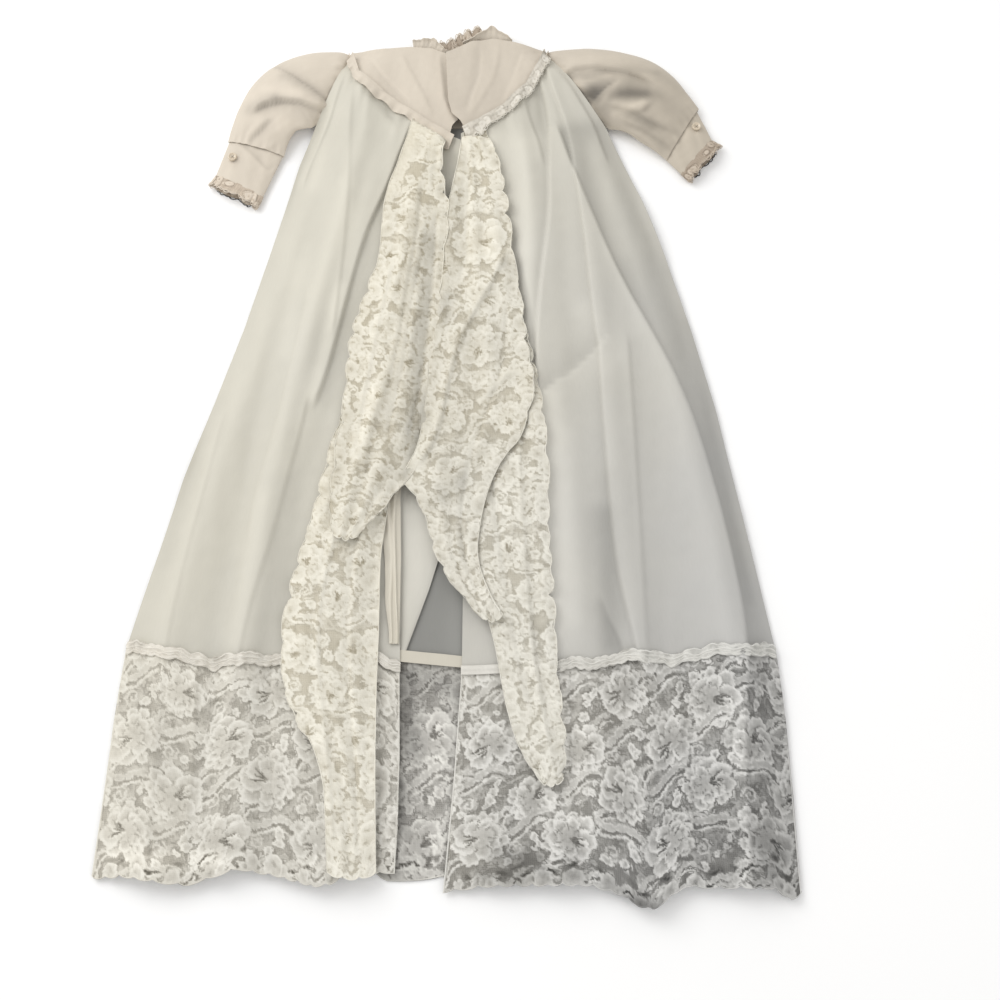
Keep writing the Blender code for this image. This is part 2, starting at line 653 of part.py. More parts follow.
def make_collar(side):
    """The edge of a neckline that stands up and turns outward beside the neck."""
    if side == "left":
        foot = ((-0.0400, 0.4915), (-0.0200, 0.4890), (-0.0090, 0.4835))
        tips = ((-0.0400, 0.5000), (-0.0190, 0.4995), (-0.0075, 0.4860))
        height = 0.007
    else:
        foot = ((0.0130, 0.4927), (0.0280, 0.4985), (0.0420, 0.5010), (0.0560, 0.4992))
        tips = ((0.0150, 0.4990), (0.0300, 0.5090), (0.0410, 0.5175), (0.0580, 0.5010))
        height = 0.012
    lower = []
    for part in (0.0, 0.33, 0.67, 1.0):
        row = []
        for k in range(11):
            u = k / 10
            a, b = np.array(along(foot, u)), np.array(along(tips, u))
            x, y = a + (b - a) * part + np.array((0.0, 2 * SEAM))
            rise = height * math.sin(math.pi * (0.08 + 0.84 * u)) ** 0.7
            row.append((x, y, 0.0060 + part * rise))
        lower.append(row)
    sheet("collar_" + side, "yoke cloth", lower, TRIM)


def sleeve_shape(side, part):
    """The folds across a sleeve at one part of its length."""
    def shape(across):
        height = 0.0
        for fold in SLEEVE_FOLDS[side]:
            start, end = fold.along
            if not start < part < end:
                continue
            t = (part - start) / (end - start)
            crest = fold.across[0] + (fold.across[1] - fold.across[0]) * t
            height += fold.height * math.sin(math.pi * t) * bump(across - crest, fold.width * 1.6,
                                                                 fold.width * 1.6)
        return height
    return shape


def blend_sections(sections, part):
    """The section a given part of the way along a sleeve."""
    reach = np.linspace(0.0, 1.0, len(sections))
    flat = [(*section.outer, *section.inner, section.height) for section in sections]
    values = [float(np.interp(part, reach, column)) for column in zip(*flat)]
    return Section(tuple(values[:2]), tuple(values[2:4]), values[4])


def make_sleeve(side):
    outside, inside = [], []
    steps = 14
    for i in range(steps + 1):
        part = i / steps
        section = blend_sections(SLEEVES[side], part)
        shape = sleeve_shape(side, part)
        outside.append(ring(section, 0.0, shape=shape))
        inside.append(ring(section, CLOTH, shape=shape))
    tube("sleeve_" + side, "yoke cloth", outside, inside)


def moved(section, distance, height=None, widen=0.0):
    """A copy of a section, moved along the sleeve towards the hand."""
    outer, inner = np.array(section.outer), np.array(section.inner)
    across = (outer - inner) / np.hypot(*(outer - inner))
    forward = np.array((-across[1], across[0]))
    if forward[1] > 0:
        forward = -forward
    step = forward * distance
    outer, inner = outer + step + across * widen, inner + step - across * widen
    return Section(tuple(outer), tuple(inner), height or section.height)


def cuff_sections(side):
    start = moved(SLEEVES[side][-1], SEAM, 0.0115, -0.0006)
    end = CUFF_ENDS[side]
    return start, blend_sections((start, end), 0.5), end


def make_cuff(side):
    sections = cuff_sections(side)
    outside = [ring(section, count=24) for section in sections]
    inside = [ring(section, CLOTH, count=24) for section in sections]
    tube("cuff_" + side, "yoke cloth", outside, inside)


def make_cuff_lace(side):
    """The narrow ruffled lace round the end of a cuff."""
    count = 36
    start = moved(CUFF_ENDS[side], SEAM)
    rows = []
    for thickness in (0.0, TRIM):
        rings = []
        for part in (0.0, 0.5, 1.0):
            section = moved(start, part * CUFF_LACE_LENGTH, 0.0105 + 0.001 * part, 0.0015 * part)
            points = ring(section, thickness, count)
            far = ring(moved(section, 0.002 * part), thickness, count)
            waved = []
            for k, (near_point, far_point) in enumerate(zip(points, far)):
                wave = 0.5 - 0.5 * math.cos(2 * math.pi * CUFF_LACE_WAVES * k / count)
                x, y, z = (a + (b - a) * wave for a, b in zip(near_point, far_point))
                top = smooth((z - 0.004) / 0.004)
                waved.append((x, y, z + 0.0014 * part * wave * top))
            rings.append(waved)
        rows.append(rings)
    tube("cuff_lace_" + side, "aged lace", *rows)


def make_button(side):
    """A button on top of a cuff. Place is how far along the cuff and across it."""
    down, across = BUTTON_PLACES[side]
    section = blend_sections(cuff_sections(side), down)
    outer, inner = np.array(section.outer), np.array(section.inner)
    x, y = (outer + inner) / 2 + (outer - inner) / 2 * across
    top = section.height + ON_PANEL
    shape = bmesh.new()
    bmesh.ops.create_cone(shape, cap_ends=True, segments=20, radius1=BUTTON_DIAMETER / 2,
                          radius2=BUTTON_DIAMETER * 0.42, depth=BUTTON_HEIGHT)
    bmesh.ops.translate(shape, verts=shape.verts, vec=(x, y, top + BUTTON_HEIGHT / 2))
    place("button_" + side, "button", shape)


def centre_over_origin():
    """Move the pieces together so that the middle of their box is over the origin."""
    things = bpy.data.collections["christening gown"].objects
    points = np.array([vertex.co[:] for thing in things for vertex in thing.data.vertices])
    low, high = points.min(axis=0), points.max(axis=0)
    for thing in things:
        thing.location = (-(low[0] + high[0]) / 2, -(low[1] + high[1]) / 2, -low[2])


def main():
    clear_scene()
    collection = bpy.data.collections.new("christening gown")
    bpy.context.scene.collection.children.link(collection)
    make_back()
    make_back_yoke()
    make_hem_band()
    for side in ("left", "right"):
        make_front_skirt(side)
        make_flounce(side)
        make_heading(side)
        make_front_yoke(side)
        make_yoke_lace(side)
        make_collar(side)
        make_sleeve(side)
        make_cuff(side)
        make_cuff_lace(side)
        make_button(side)
    make_placket()
    make_neck_lace()
    for name in RUFFLES:
        make_ruffle(name)
    centre_over_origin()


main()
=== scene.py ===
"""Looks of an open-front christening gown that lies face up on a pale floor.

Tables are in millimetres, which mm turns into metres. Places are in the gown's own plan: x runs
across from the centre front and y runs up to the neck. MIDDLE is taken off when a mesh is made,
which puts it in the frame's coordinates. Heights are read from the frame's solids.
"""
import math
from collections import namedtuple

import bpy
import numpy as np
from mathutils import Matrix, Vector
from mathutils.bvhtree import BVHTree


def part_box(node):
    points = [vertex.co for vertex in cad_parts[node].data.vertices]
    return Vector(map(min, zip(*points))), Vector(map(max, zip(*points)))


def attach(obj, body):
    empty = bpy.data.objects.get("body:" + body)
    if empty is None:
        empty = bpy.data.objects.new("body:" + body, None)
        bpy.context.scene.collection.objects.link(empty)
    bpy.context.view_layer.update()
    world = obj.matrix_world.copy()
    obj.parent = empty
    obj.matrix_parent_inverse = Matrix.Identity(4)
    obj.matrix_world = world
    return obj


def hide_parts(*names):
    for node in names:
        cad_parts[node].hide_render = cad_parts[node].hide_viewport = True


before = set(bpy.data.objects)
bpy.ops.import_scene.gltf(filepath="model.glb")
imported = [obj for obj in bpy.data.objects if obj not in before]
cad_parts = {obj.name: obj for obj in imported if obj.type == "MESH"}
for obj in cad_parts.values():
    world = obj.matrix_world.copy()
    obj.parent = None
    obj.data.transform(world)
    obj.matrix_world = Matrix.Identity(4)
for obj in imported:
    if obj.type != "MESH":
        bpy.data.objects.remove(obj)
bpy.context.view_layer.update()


def mm(values):
    return np.array(values, float) / 1000


MIDDLE = (0.00245, 0.067016)

SIDES = ("left", "right")
# Rays that look for the top of a solid start at this height. A place past the solid's outline
# takes the height of the point that is nearest to TOP_HEIGHT over it.
RAY_START = 0.2
TOP_HEIGHT = 0.03

# Camera, as in the photograph: it looks down on the gown from beyond its hem
CAMERA_TARGET = Vector((0.04705, -0.067016, 0.0))
CAMERA_ELEVATION = math.radians(72)
CAMERA_DISTANCE = 1.665
CAMERA_LENS = 63.0
# Name, place, size and power of each lamp, and the strength of the light all round
LAMPS = (("key", (-1.20, 0.90, 1.45), 1.5, 21.0), ("fill", (1.2, -1.4, 1.9), 1.8, 4.0))
SKY = 0.82
FLOOR_REACH = 4.0
FLOOR_DROP = 0.0004

# Points across and down the grid of each piece, and round and along a sleeve and a cuff
GRIDS = {
    "skirt": (141, 127), "hem_lace": (161, 47), "yoke": (61, 51), "yoke_edge": (141, 9),
    "collar": (49, 15), "heading": (241, 9), "back_panel": (61, 45), "back_yoke": (71, 21),
    "back_lace": (121, 41), "back_fold": (21, 61), "hem_band": (81, 5), "placket": (25, 101),
    "neck_lace": (97, 11), "sleeve": (104, 77), "cuff": (72, 25), "cuff_lace": (180, 9),
}
# A ruffle has so many points across, and rows about this far apart
RUFFLE_COLUMNS = 43
RUFFLE_ROW = 0.0031
BUTTON_COLUMNS = 40
# The distance between the points of each lace's raised pattern, and the aged lace's random seed
HEM_STEP = 0.00112
BACK_STEP = 0.0013
RUFFLE_STEP = 0.00115
HEADING_STEP = 0.0010
YOKE_STEP = 0.0007
AGED_STEP = 0.0006
AGED_SEED = 6

# Thickness of cloth and of net, and the gap between two pieces at a seam
CLOTH = 0.0008
NET = 0.0005
SEAM = 0.0006

# Length and depth of the scallops of the back lace and of the front hem laces, and their length
# down a ruffle
SCALLOP = 0.080
SCALLOP_DEPTH = 0.0065
EDGE_SCALLOP = 0.0165
EDGE_SCALLOP_DEPTH = 0.0032
RUFFLE_SCALLOP = 0.030

# Size of the blossoms of a hem lace, the distance between them, and their rows down from its seam
FLOWER = 0.050
LACE_PITCH = 0.088
HEM_ROWS = (-0.006, 0.036, 0.079, 0.122, 0.165)
# Small petals round each of these blossoms: across as a share of the pitch, and down
HEM_PETALS = ((0.36, 0.020), (0.55, 0.012), (0.63, -0.002), (-0.28, -0.010), (-0.36, 0.004))
# The distances between the blossoms of a ruffle, across and down
RUFFLE_PITCH = (0.050, 0.042)
# A lace is raised where it is worked, or open, by more than this
RAISED_FROM = 0.24
# Heights over the net of the edges and of the middle of a thread
THREAD_LOW = 0.0002
THREAD_HIGH = 0.0009

# Widths, and places up and down the gown, of the smaller pieces and of the back
HEADING_WIDTH = 0.0085
PLACKET_WIDTH = 0.018
PLACKET_REACH = (0.055, -0.142)
CUFF_LACE_LENGTH = {"left": 0.013, "right": 0.0118}
BACK_YOKE_SEAM = 0.398
BACK_HEM = -0.1535
BACK_LACE_EDGE = -0.350
HEM_BAND_WIDTH = 0.011
# Heights over the floor: of the back's top, of its lace, and the least of a front
BACK_TOP = 0.0013
BACK_LACE_TOP = 0.0010
FRONT_LEAST = 0.0028
# The upper end of a ruffle lies this far below the top of the yoke and its trim
UNDER_YOKE = 0.0022
# Heights of a cuff and of its lace
CUFF_HEIGHT = 0.0105
CUFF_LACE_HEIGHT = 0.010
# Flat cut of pieces that are gathered or partly hidden, width and length
YOKE_FLAT = (0.125, 0.11)
BACK_YOKE_FLAT = (0.30, 0.11)
COLLAR_FLAT = (0.05, 0.02)
BACK_FOLD_FLAT = (0.05, 0.20)
BACK_WIDTH = 0.60

# Painted shade: how much darker the sleeve of each side is, the right one lying away from the
# key lamp, and how much stronger the painted shade of its folds is
SIDE_SHADE = {"left": 0.02, "right": 0.13}
TUBE_SHADE = 1.25
# The drop at the edge of a fold is this wide, and fades out this near to the ends of its line
EDGE_WIDTH = 0.0048
EDGE_FADE = 0.018
# Painted shade: cloth darkens by up to HOLLOW_SHADE where it lies FOLD_DEPTH below its
# surroundings, and is painted a little lighter on its ridges
FOLD_DEPTH = 0.0016
HOLLOW_SHADE = 0.07

# Flat cut of each front skirt, width at the hem and length
SKIRT_FLAT = {"left": (0.30, 0.56), "right": (0.34, 0.58)}

# Outlines of the fronts, each read from its first point to its last
Front = namedtuple("Front", "sign outer free yoke hem lace_outer lace_free lace_edge")
FRONTS = {side: Front(sign, *map(mm, lines)) for side, sign, lines in (
    ("left", -1, (
        ((-106, 481.5), (-137.5, 399), (-153.2, 351.7), (-166.5, 301), (-201, 175.6),
         (-251.3, 20.1), (-288.4, -117.4), (-296, -146)),
        ((1, 380), (-6.9, 317.8), (-15.3, 251.3), (-28.8, 154.4), (-41.9, 60.7), (-44, 0),
         (-42.5, -59.4), (-42.8, -163)),
        ((-106, 481.5), (-96.9, 451), (-75.9, 432.3), (-58.2, 418.3), (-27.1, 397.4), (1, 380)),
        ((-296, -146), (-260.5, -150), (-216.2, -164), (-177.7, -159), (-107.7, -151.5),
         (-71.7, -150), (-42.8, -163)),
        ((-296, -146), (-302.5, -211.4), (-307.4, -284.3), (-312.8, -352)),
        ((-42.8, -163), (-41.3, -248.1), (-42, -311.1), (-43.8, -347)),
        ((-312.8, -352), (-285, -351), (-268, -354), (-248, -357), (-229, -359), (-210, -354),
         (-182, -345), (-150, -350), (-114, -360), (-100, -358), (-84, -350), (-43.8, -347)))),
    ("right", 1, (
        ((99, 484), (157, 396), (190.5, 317.8), (213.8, 251.3), (236.1, 175.6), (257.5, 91.6),
         (289, -69.1), (304.7, -150.7)),
        ((10, 386), (9.2, 317.8), (9.9, 207.8), (12.6, 101.9), (14.3, 0), (14.9, -98.2),
         (14.4, -166.7)),
        ((99, 484), (90.8, 461.6), (78.3, 436.9), (54.6, 413.6), (29, 397.4), (10, 386)),
        ((304.7, -150.7), (254.9, -148.5), (208.3, -160.2), (158.5, -156), (123.3, -163),
         (49.5, -166.7), (14.4, -166.7)),
        ((304.7, -150.7), (310, -211.4), (313.5, -284.3), (316, -366)),
        ((14.4, -166.7), (11.2, -229.9), (4.6, -302.2), (-1, -364)),
        ((316, -366), (306, -371), (292, -362), (244, -361), (212, -360), (197, -371),
         (184, -380), (172, -377), (157, -367), (129, -359), (67, -359), (32, -360),
         (-1, -364)))),
)}
YOKES = {
    "left": (((-104, 485), (-75, 486), (-42, 488.5), (-20, 487), (6, 476)),
             ((1, 380.7), (-1, 389), (1, 397), (7, 404), (9, 435), (6, 476))),
    "right": (((96.5, 487), (62, 495), (42, 498.5), (20, 494), (-6, 479)),
              ((12, 387.2), (13, 393), (9, 400), (1, 407), (-3, 422), (-4, 440), (-6, 479))),
}
BACK_NECK = mm(((-104, 486), (-75, 488.5), (-42, 490), (-12, 480), (4, 486), (18, 497), (38, 504),
                (60, 497), (96.5, 488)))

# The edge of a fold, along a line. The cloth is high on the side of the line that is the left
# hand's when it is walked, or the right hand's where side is -1, and drops at the line to a
# valley. It rises by rise and sinks by sink, and this and the shade of the valley fade with the
# distances crest, valley and reach. The shade is painted shade in the valley, and painted light
# where it is below 0; a row that neither rises nor sinks only paints light or shade.
Edge = namedtuple("Edge", "side rise sink crest valley reach shade line")
EDGES = {name: [Edge(*row) for row in rows] for name, rows in {
    "left_skirt": (
        # Painted light only, over the slit below the keyhole, where the ruffles cast shade
        (1, 0, 0, 5, 5, 12, -.32, ((9, 388), (9, 330), (6, 250))),
        (-1, 2.6, 1.2, 22, 14, 20, .06, (
            (-38, 402), (-44, 386), (-57, 346), (-66, 318), (-79, 290), (-87, 262), (-95, 230),
            (-102, 197), (-109, 165), (-116, 133), (-123, 107), (-131, 86))),
        (-1, 1.2, 0.6, 14, 16, 16, .00, (
            (-134, 104), (-139, 73), (-144, 50), (-151, 20), (-157, -10), (-165, -50),
            (-174, -79), (-181, -108), (-186, -137), (-190, -157), (-194, -250), (-195, -360))),
        (1, 0.7, 0.5, 16, 16, 20, .00, (
            (-138, 220), (-147, 160), (-154, 123), (-162, 81), (-170, 50), (-177, 20),
            (-183, -5), (-188, -50))),
        (-1, 1.4, 0.6, 12, 9, 10, .02, (
            (-108, 462), (-123, 403), (-134, 374), (-144, 345), (-150, 320))),
        (-1, 0.9, 0.6, 16, 16, 12, .02, (
            (-100, 440), (-102, 400), (-101, 318), (-105, 251), (-113, 160))),
        (-1, 1.2, 1.0, 12, 10, 9, .08, ((-97, 447), (-84, 424), (-66, 408), (-52, 388))),
        (1, 1.6, 1.0, 10, 8, 10, .05, ((-22, 392), (-32, 350), (-50, 290), (-66, 230))),
        (-1, 0.9, 0.6, 14, 14, 14, .03, (
            (-215, 90), (-226, 30), (-240, -40), (-252, -110), (-257, -150), (-262, -350))),
        (1, 1.2, 0.8, 7, 7, 8, .06, ((-112, -152), (-109, -230), (-106, -350))),
        (-1, 1.4, 0.8, 8, 8, 9, .07, ((-64, -152), (-62, -230), (-63, -350))),
        (-1, 1.0, 0.8, 9, 9, 9, .05, ((-228, -160), (-226, -240), (-230, -350))),
        (1, 1.0, 0.8, 9, 9, 9, .06, ((-160, -160), (-157, -240), (-150, -350))),
    ),
    "right_skirt": (
        (1, 3.0, 1.6, 16, 12, 12, .08, (
            (86, 462), (93, 430), (99, 397), (98, 357), (99, 318), (98, 290), (94, 262),
            (90, 230), (87, 197), (84, 165), (83, 131), (85, 90))),
        (-1, 1.6, 0.9, 12, 6, 8, .05, ((70, 440), (80, 403), (89, 377), (95, 345))),
        (1, 2.6, 1.8, 18, 18, 18, .08, (
            (94, 470), (102, 432), (109, 415), (116, 395), (122, 363), (125, 329), (130, 290),
            (134, 251), (137, 208), (141, 176), (145, 142))),
        # Painted light only, on the strip beside the right ruffles, where their shadow falls
        (-1, 0, 0, 5, 5, 18, -.22, (
            (34, 392), (48, 340), (62, 290), (73, 230), (82, 190), (88, 90), (93, 0), (97, -90),
            (103, -221), (112, -320))),
        (1, 2.2, 1.2, 30, 20, 26, .10, (
            (160, 168), (144, 151), (132, 140), (118, 126), (103, 116), (93, 107), (84, 98),
            (72, 84))),
        (1, 2.6, 2.0, 14, 18, 16, .12, (
            (144, 160), (146, 102), (149, 50), (152, 0), (155, -50), (160, -89), (167, -117),
            (174, -146), (178, -174), (181, -230), (186, -290), (190, -370))),
        (-1, 1.2, 0.8, 16, 18, 20, .04, ((174, 170), (179, 50), (182, -50), (185, -160))),
        (-1, 3.0, 1.6, 26, 28, 90, .22, (
            (106, 400), (114, 374), (125, 335), (140, 301), (154, 262), (168, 230), (184, 197),
            (201, 160), (215, 133), (229, 102), (240, 61), (250, 25), (258, -10), (266, -50),
            (272, -89), (277, -117), (280, -151), (272, -200), (270, -280), (272, -390))),
        (1, 1.4, 0.9, 8, 6, 8, .10, ((142, -92), (150, -119), (158, -135), (166, -165))),
        (-1, 1.6, 1.0, 14, 12, 14, .07, ((104, 476), (126, 432), (146, 396), (160, 350))),
        (1, 1.2, 0.8, 8, 8, 9, .08, ((56, -160), (60, -220), (64, -290), (60, -365))),
        (-1, 1.2, 0.8, 8, 8, 9, .08, ((110, -160), (108, -230), (114, -290), (118, -365))),
        (-1, 1.2, 0.8, 8, 8, 9, .08, ((212, -150), (214, -230), (222, -290), (224, -365))),
    ),
    "left_inner_ruffle": (
        (-1, 2.0, 1.2, 12, 8, 8, .05, (
            (-31, 330), (-33, 290), (-35, 262), (-44, 208), (-50, 154), (-62, 102), (-74, 61),
            (-80, 10))),
        (1, 2.0, 1.4, 9, 9, 10, .18, (
            (-12, 300), (-13, 284), (-14, 240), (-19, 176), (-27, 102), (-38, 50))),
        (-1, 1.4, 0.8, 8, 6, 8, .05, ((-56, 240), (-70, 160), (-80, 100), (-90, 30))),
        (1, 1.4, 1.0, 7, 7, 8, .12, ((-26, 250), (-36, 190), (-42, 130), (-58, 50))),
    ),
    "right_inner_ruffle": (
        (-1, 2.8, 1.6, 14, 10, 14, .17, (
            (60, 252), (52, 242), (42, 216), (30, 197), (17, 174), (6, 144), (-1, 111), (-6, 81),
            (-12, 56), (-29, 27))),
        (1, 1.6, 1.0, 10, 8, 9, .10, ((18, 372), (20, 330), (16, 290), (18, 250), (10, 215))),
        (1, 1.8, 1.2, 12, 8, 12, .12, (
            (58, 196), (56, 150), (50, 110), (36, 80), (24, 40), (16, 0), (14, -40), (22, -80))),
        (-1, 1.4, 1.0, 8, 8, 9, .10, ((70, 120), (58, 118), (44, 104), (30, 92))),
    ),
    "left_outer_ruffle": (
        (-1, 1.6, 1.2, 10, 8, 9, .12, (
            (-88, 30), (-104, -40), (-116, -100), (-118, -160), (-108, -220), (-96, -330))),
        (1, 1.8, 1.2, 10, 10, 9, .13, (
            (-72, 20), (-86, -60), (-90, -120), (-88, -180), (-80, -250), (-74, -340))),
    ),
    "right_outer_ruffle": (
        (-1, 1.6, 1.2, 10, 8, 9, .09, (
            (66, 120), (68, 60), (70, 0), (74, -70), (80, -150), (92, -230), (104, -290))),
        (1, 1.4, 1.0, 10, 8, 9, .11, ((40, 60), (44, 0), (54, -70), (64, -140), (80, -210))),
    ),
    "left_sleeve": (
        # Painted light only, along the armhole, where the sleeve dips and lies in shade
        (1, 0, 0, 5, 5, 16, -.12, ((-106, 482), (-122, 440), (-138, 399))),
        (-1, 1.5, 3.6, 14, 9, 8, .12, (
            (-196, 464), (-186, 462), (-170, 452), (-154, 440), (-136, 428), (-118, 418))),
        (1, 3.6, 2.8, 11, 8, 8, .16, (
            (-206, 402), (-192, 413), (-174, 417), (-153, 416), (-138, 413), (-116, 421))),
        (1, 1.2, 0.8, 8, 8, 8, .02, ((-164, 418), (-150, 409), (-143, 400), (-138, 380))),
        (1, 1.8, 1.6, 7, 6, 6, .10, ((-208, 376), (-191, 389), (-176, 402))),
        (1, 1.2, 1.2, 6, 5, 5, .06, ((-193, 352), (-184, 367), (-172, 380))),
        (-1, 1.0, 1.0, 6, 5, 5, .04, ((-214, 371), (-204, 388), (-194, 400))),
    ),
    "right_sleeve": (
        (1, 2.4, 3.4, 10, 9, 8, .08, (
            (102, 450), (116, 455), (131, 461), (152, 457), (174, 452), (192, 448), (212, 434))),
        (1, 3.0, 1.6, 9, 9, 9, .02, ((108, 447), (126, 441), (141, 430), (152, 420))),
        (-1, 2.2, 2.2, 7, 8, 10, .22, ((140, 418), (151, 427), (160, 435), (174, 442))),
        (1, 2.6, 2.0, 8, 9, 10, .18, ((154, 416), (173, 409), (191, 405), (208, 420))),
        (1, 2.0, 1.8, 7, 6, 6, .10, ((178, 410), (201, 397), (231, 384))),
        (1, 1.8, 1.6, 7, 6, 6, .10, ((167, 401), (196, 386), (223, 371))),
        (1, 1.8, 2.0, 8, 10, 16, .24, ((136, 424), (153, 403), (170, 386))),
        (1, 1.2, 1.4, 6, 9, 18, .18, ((168, 392), (190, 381), (212, 364))),
    ),
    "left_cuff": (
        (-1, 1.0, 0.5, 12, 3, 4, .14, ((-219, 381), (-197, 359), (-184, 345), (-166, 364))),
    ),
    "right_cuff": (
        (1, 0.8, 0.4, 8, 3, 4, .08, ((262, 404), (247, 388), (254, 366))),
    ),
    "left_yoke": (
        (1, 0.8, 0.5, 10, 8, 9, .04, ((-87, 479), (-69, 451), (-51, 430), (-36, 412))),
        (-1, 0.8, 0.5, 9, 8, 9, .03, ((-54, 486), (-41, 457), (-27, 428), (-16, 402))),
        (-1, 1.0, 0.8, 8, 9, 9, .14, ((-12, 482), (-9, 450), (-6, 425), (4, 402), (14, 388))),
    ),
    "right_yoke": (
        (1, 1.0, 0.8, 8, 8, 9, .10, ((30, 494), (29, 456), (19, 422), (14, 402))),
        (-1, 0.8, 0.5, 9, 9, 10, .04, ((51, 494), (44, 450), (29, 421), (17, 400))),
        (1, 0.8, 0.5, 9, 9, 10, .04, ((74, 488), (65, 456), (55, 430), (48, 414))),
    ),
}.items()}

# Painted shade in softly darker places, and painted light in lighter ones: each round the line
# between two points, with its width and how dark it is
PAINTED_POOLS = {
    "left_skirt": (
        (-99, 325, -143, 78, 14, -0.07), (-173, -3, -194, -138, 10, -0.05),
        (-98, 300, -116, 190, 8, -0.07), (-128, 120, -150, 30, 10, -0.06),
        (-107, 215, -133, 100, 6, -0.09), (-235, 99, -264, -62, 9, 0.05),
        (-150, 240, -158, 150, 9, -0.06), (-120, 410, -138, 330, 9, -0.07)),
    "right_skirt": (
        (72, 369, 79, 257, 16, -0.07), (146, 369, 166, 257, 14, -0.08),
        (159, 166, 166, 140, 12, -0.05), (152, 17, 152, -148, 10, 0.07),
        (235, 182, 283, -101, 6, 0.07), (98, 98, 104, -145, 10, -0.16),
        (108, 60, 112, -120, 12, -0.12), (132, 190, 150, 130, 12, -0.08),
        (146, -20, 152, -140, 12, 0.16)),
    "left_sleeve": (
        (-171, 446, -131, 424, 6, 0.16), (-204, 410, -179, 419, 7, 0.16),
        (-179, 419, -153, 416, 4, 0.1), (-166, 392, -146, 388, 9, -0.13),
        (-196, 450, -176, 470, 7, 0.07), (-203, 377, -185, 396, 2.5, 0.1),
        (-192, 432, -154, 425, 5, -0.05)),
    "right_sleeve": (
        (150, 455, 208, 452, 5, 0.10), (139, 432, 178, 430, 10, 0.15),
        (163, 422, 197, 426, 7, 0.20), (120, 452, 150, 446, 5, 0.10), (214, 448, 236, 436, 9, 0.08),
        (143, 430, 162, 388, 9, 0.30), (186, 436, 234, 406, 15, 0.11),
        (121, 469, 193, 472, 6, -0.05), (228, 440, 214, 452, 8, 0.05),
        (130, 440, 162, 448, 3, -0.09), (152, 417, 169, 438, 3, -0.1),
        (165, 404, 194, 416, 4, -0.12), (181, 402, 231, 386, 5, 0.08),
        (192, 392, 226, 366, 8, 0.12), (174, 425, 210, 424, 7, 0.10), (172, 390, 200, 391, 7, 0.09),
        (150, 388, 151, 392, 5, -0.16), (211, 364, 213, 370, 6, 0.12)),
    "right_cuff": (
        (238, 388, 246, 394, 7, -0.09),),
    "right_hem_net": (
        (7, -230, 4, -330, 7, -0.12), (48, -334, 76, -340, 11, 0.36), (36, -353, 66, -357, 9, 0.36),
        (88, -349, 92, -353, 6, 0.30), (225, -328, 247, -326, 7, 0.24),
        (164, -194, 170, -182, 6, 0.12), (236, -172, 300, -178, 6, 0.08),
        (284, -340, 292, -350, 7, 0.22), (108, -338, 109, -352, 6, 0.18),
        (165, -376, 186, -383, 10, 0.62), (152, -352, 166, -356, 7, -0.12),
        (226, -352, 250, -354, 7, 0.14), (242, -315, 300, -332, 12, 0.14),
        (311, -194, 311, -356, 9, 0.1), (121, -194, 123, -321, 8, -0.14),
        (93, -194, 96, -285, 7, -0.1), (256, -285, 299, -330, 30, 0.06),
        (251, -176, 266, -249, 10, -0.08)),
    "left_hem_net": (
        (-56, -180, -50, -330, 6, -0.03), (-290, -270, -255, -325, 15, 0.08),
        (-120, -340, -70, -345, 8, -0.12), (-278, -170, -262, -260, 18, 0.13),
        (-288, -338, -199, -340, 10, -0.18), (-84, -176, -44, -338, 12, -0.06)),
    "back_net": (
        (-5, -216, -7, -355, 16, -0.46), (-38, -172, -31, -240, 11, 0.42),
        (-40, -268, -38, -312, 7, 0.36), (-29, -167, 8, -184, 11, 0.24)),
    "back_panel": (
        (-24, -90, -24, -140, 8, 0.05), (8, -60, 14, -150, 12, -0.20)),
    "left_cuff": (
        (-215, 372, -204, 340, 12, 0.04),),
    "left_inner_ruffle": (
        (-22, 265, -34, 40, 9, 0.19), (-50, 310, -58, 250, 9, 0.05), (-16, 340, -18, 250, 9, 0.07),
        (-94, 76, -101, -4, 10, 0.05), (-68, 223, -86, 138, 7, -0.02),
        (-33, 208, -69, 98, 7, -0.10), (-69, 98, -82, 50, 7, -0.10), (-22, 98, -56, 5, 7, 0.12),
        (-19, 98, -27, 58, 5, 0.20), (-27, 58, -41, 18, 4, 0.22)),
    "right_inner_ruffle": (
        (-3, 201, -24, 70, 9, 0.14), (12, 15, -7, -4, 12, 0.14), (54, 159, 69, 117, 12, 0.03),
        (4, 320, -4, 180, 9, 0.14), (36, 262, 38, 255, 14, -0.06), (40, 60, 48, 40, 12, 0.05),
        (20, -60, 34, -100, 10, -0.05)),
    "left_outer_ruffle": (
        (-87, -195, -79, -339, 12, -0.07),),
    "right_outer_ruffle": (
        (68, -63, 72, -139, 12, 0.05),),
}

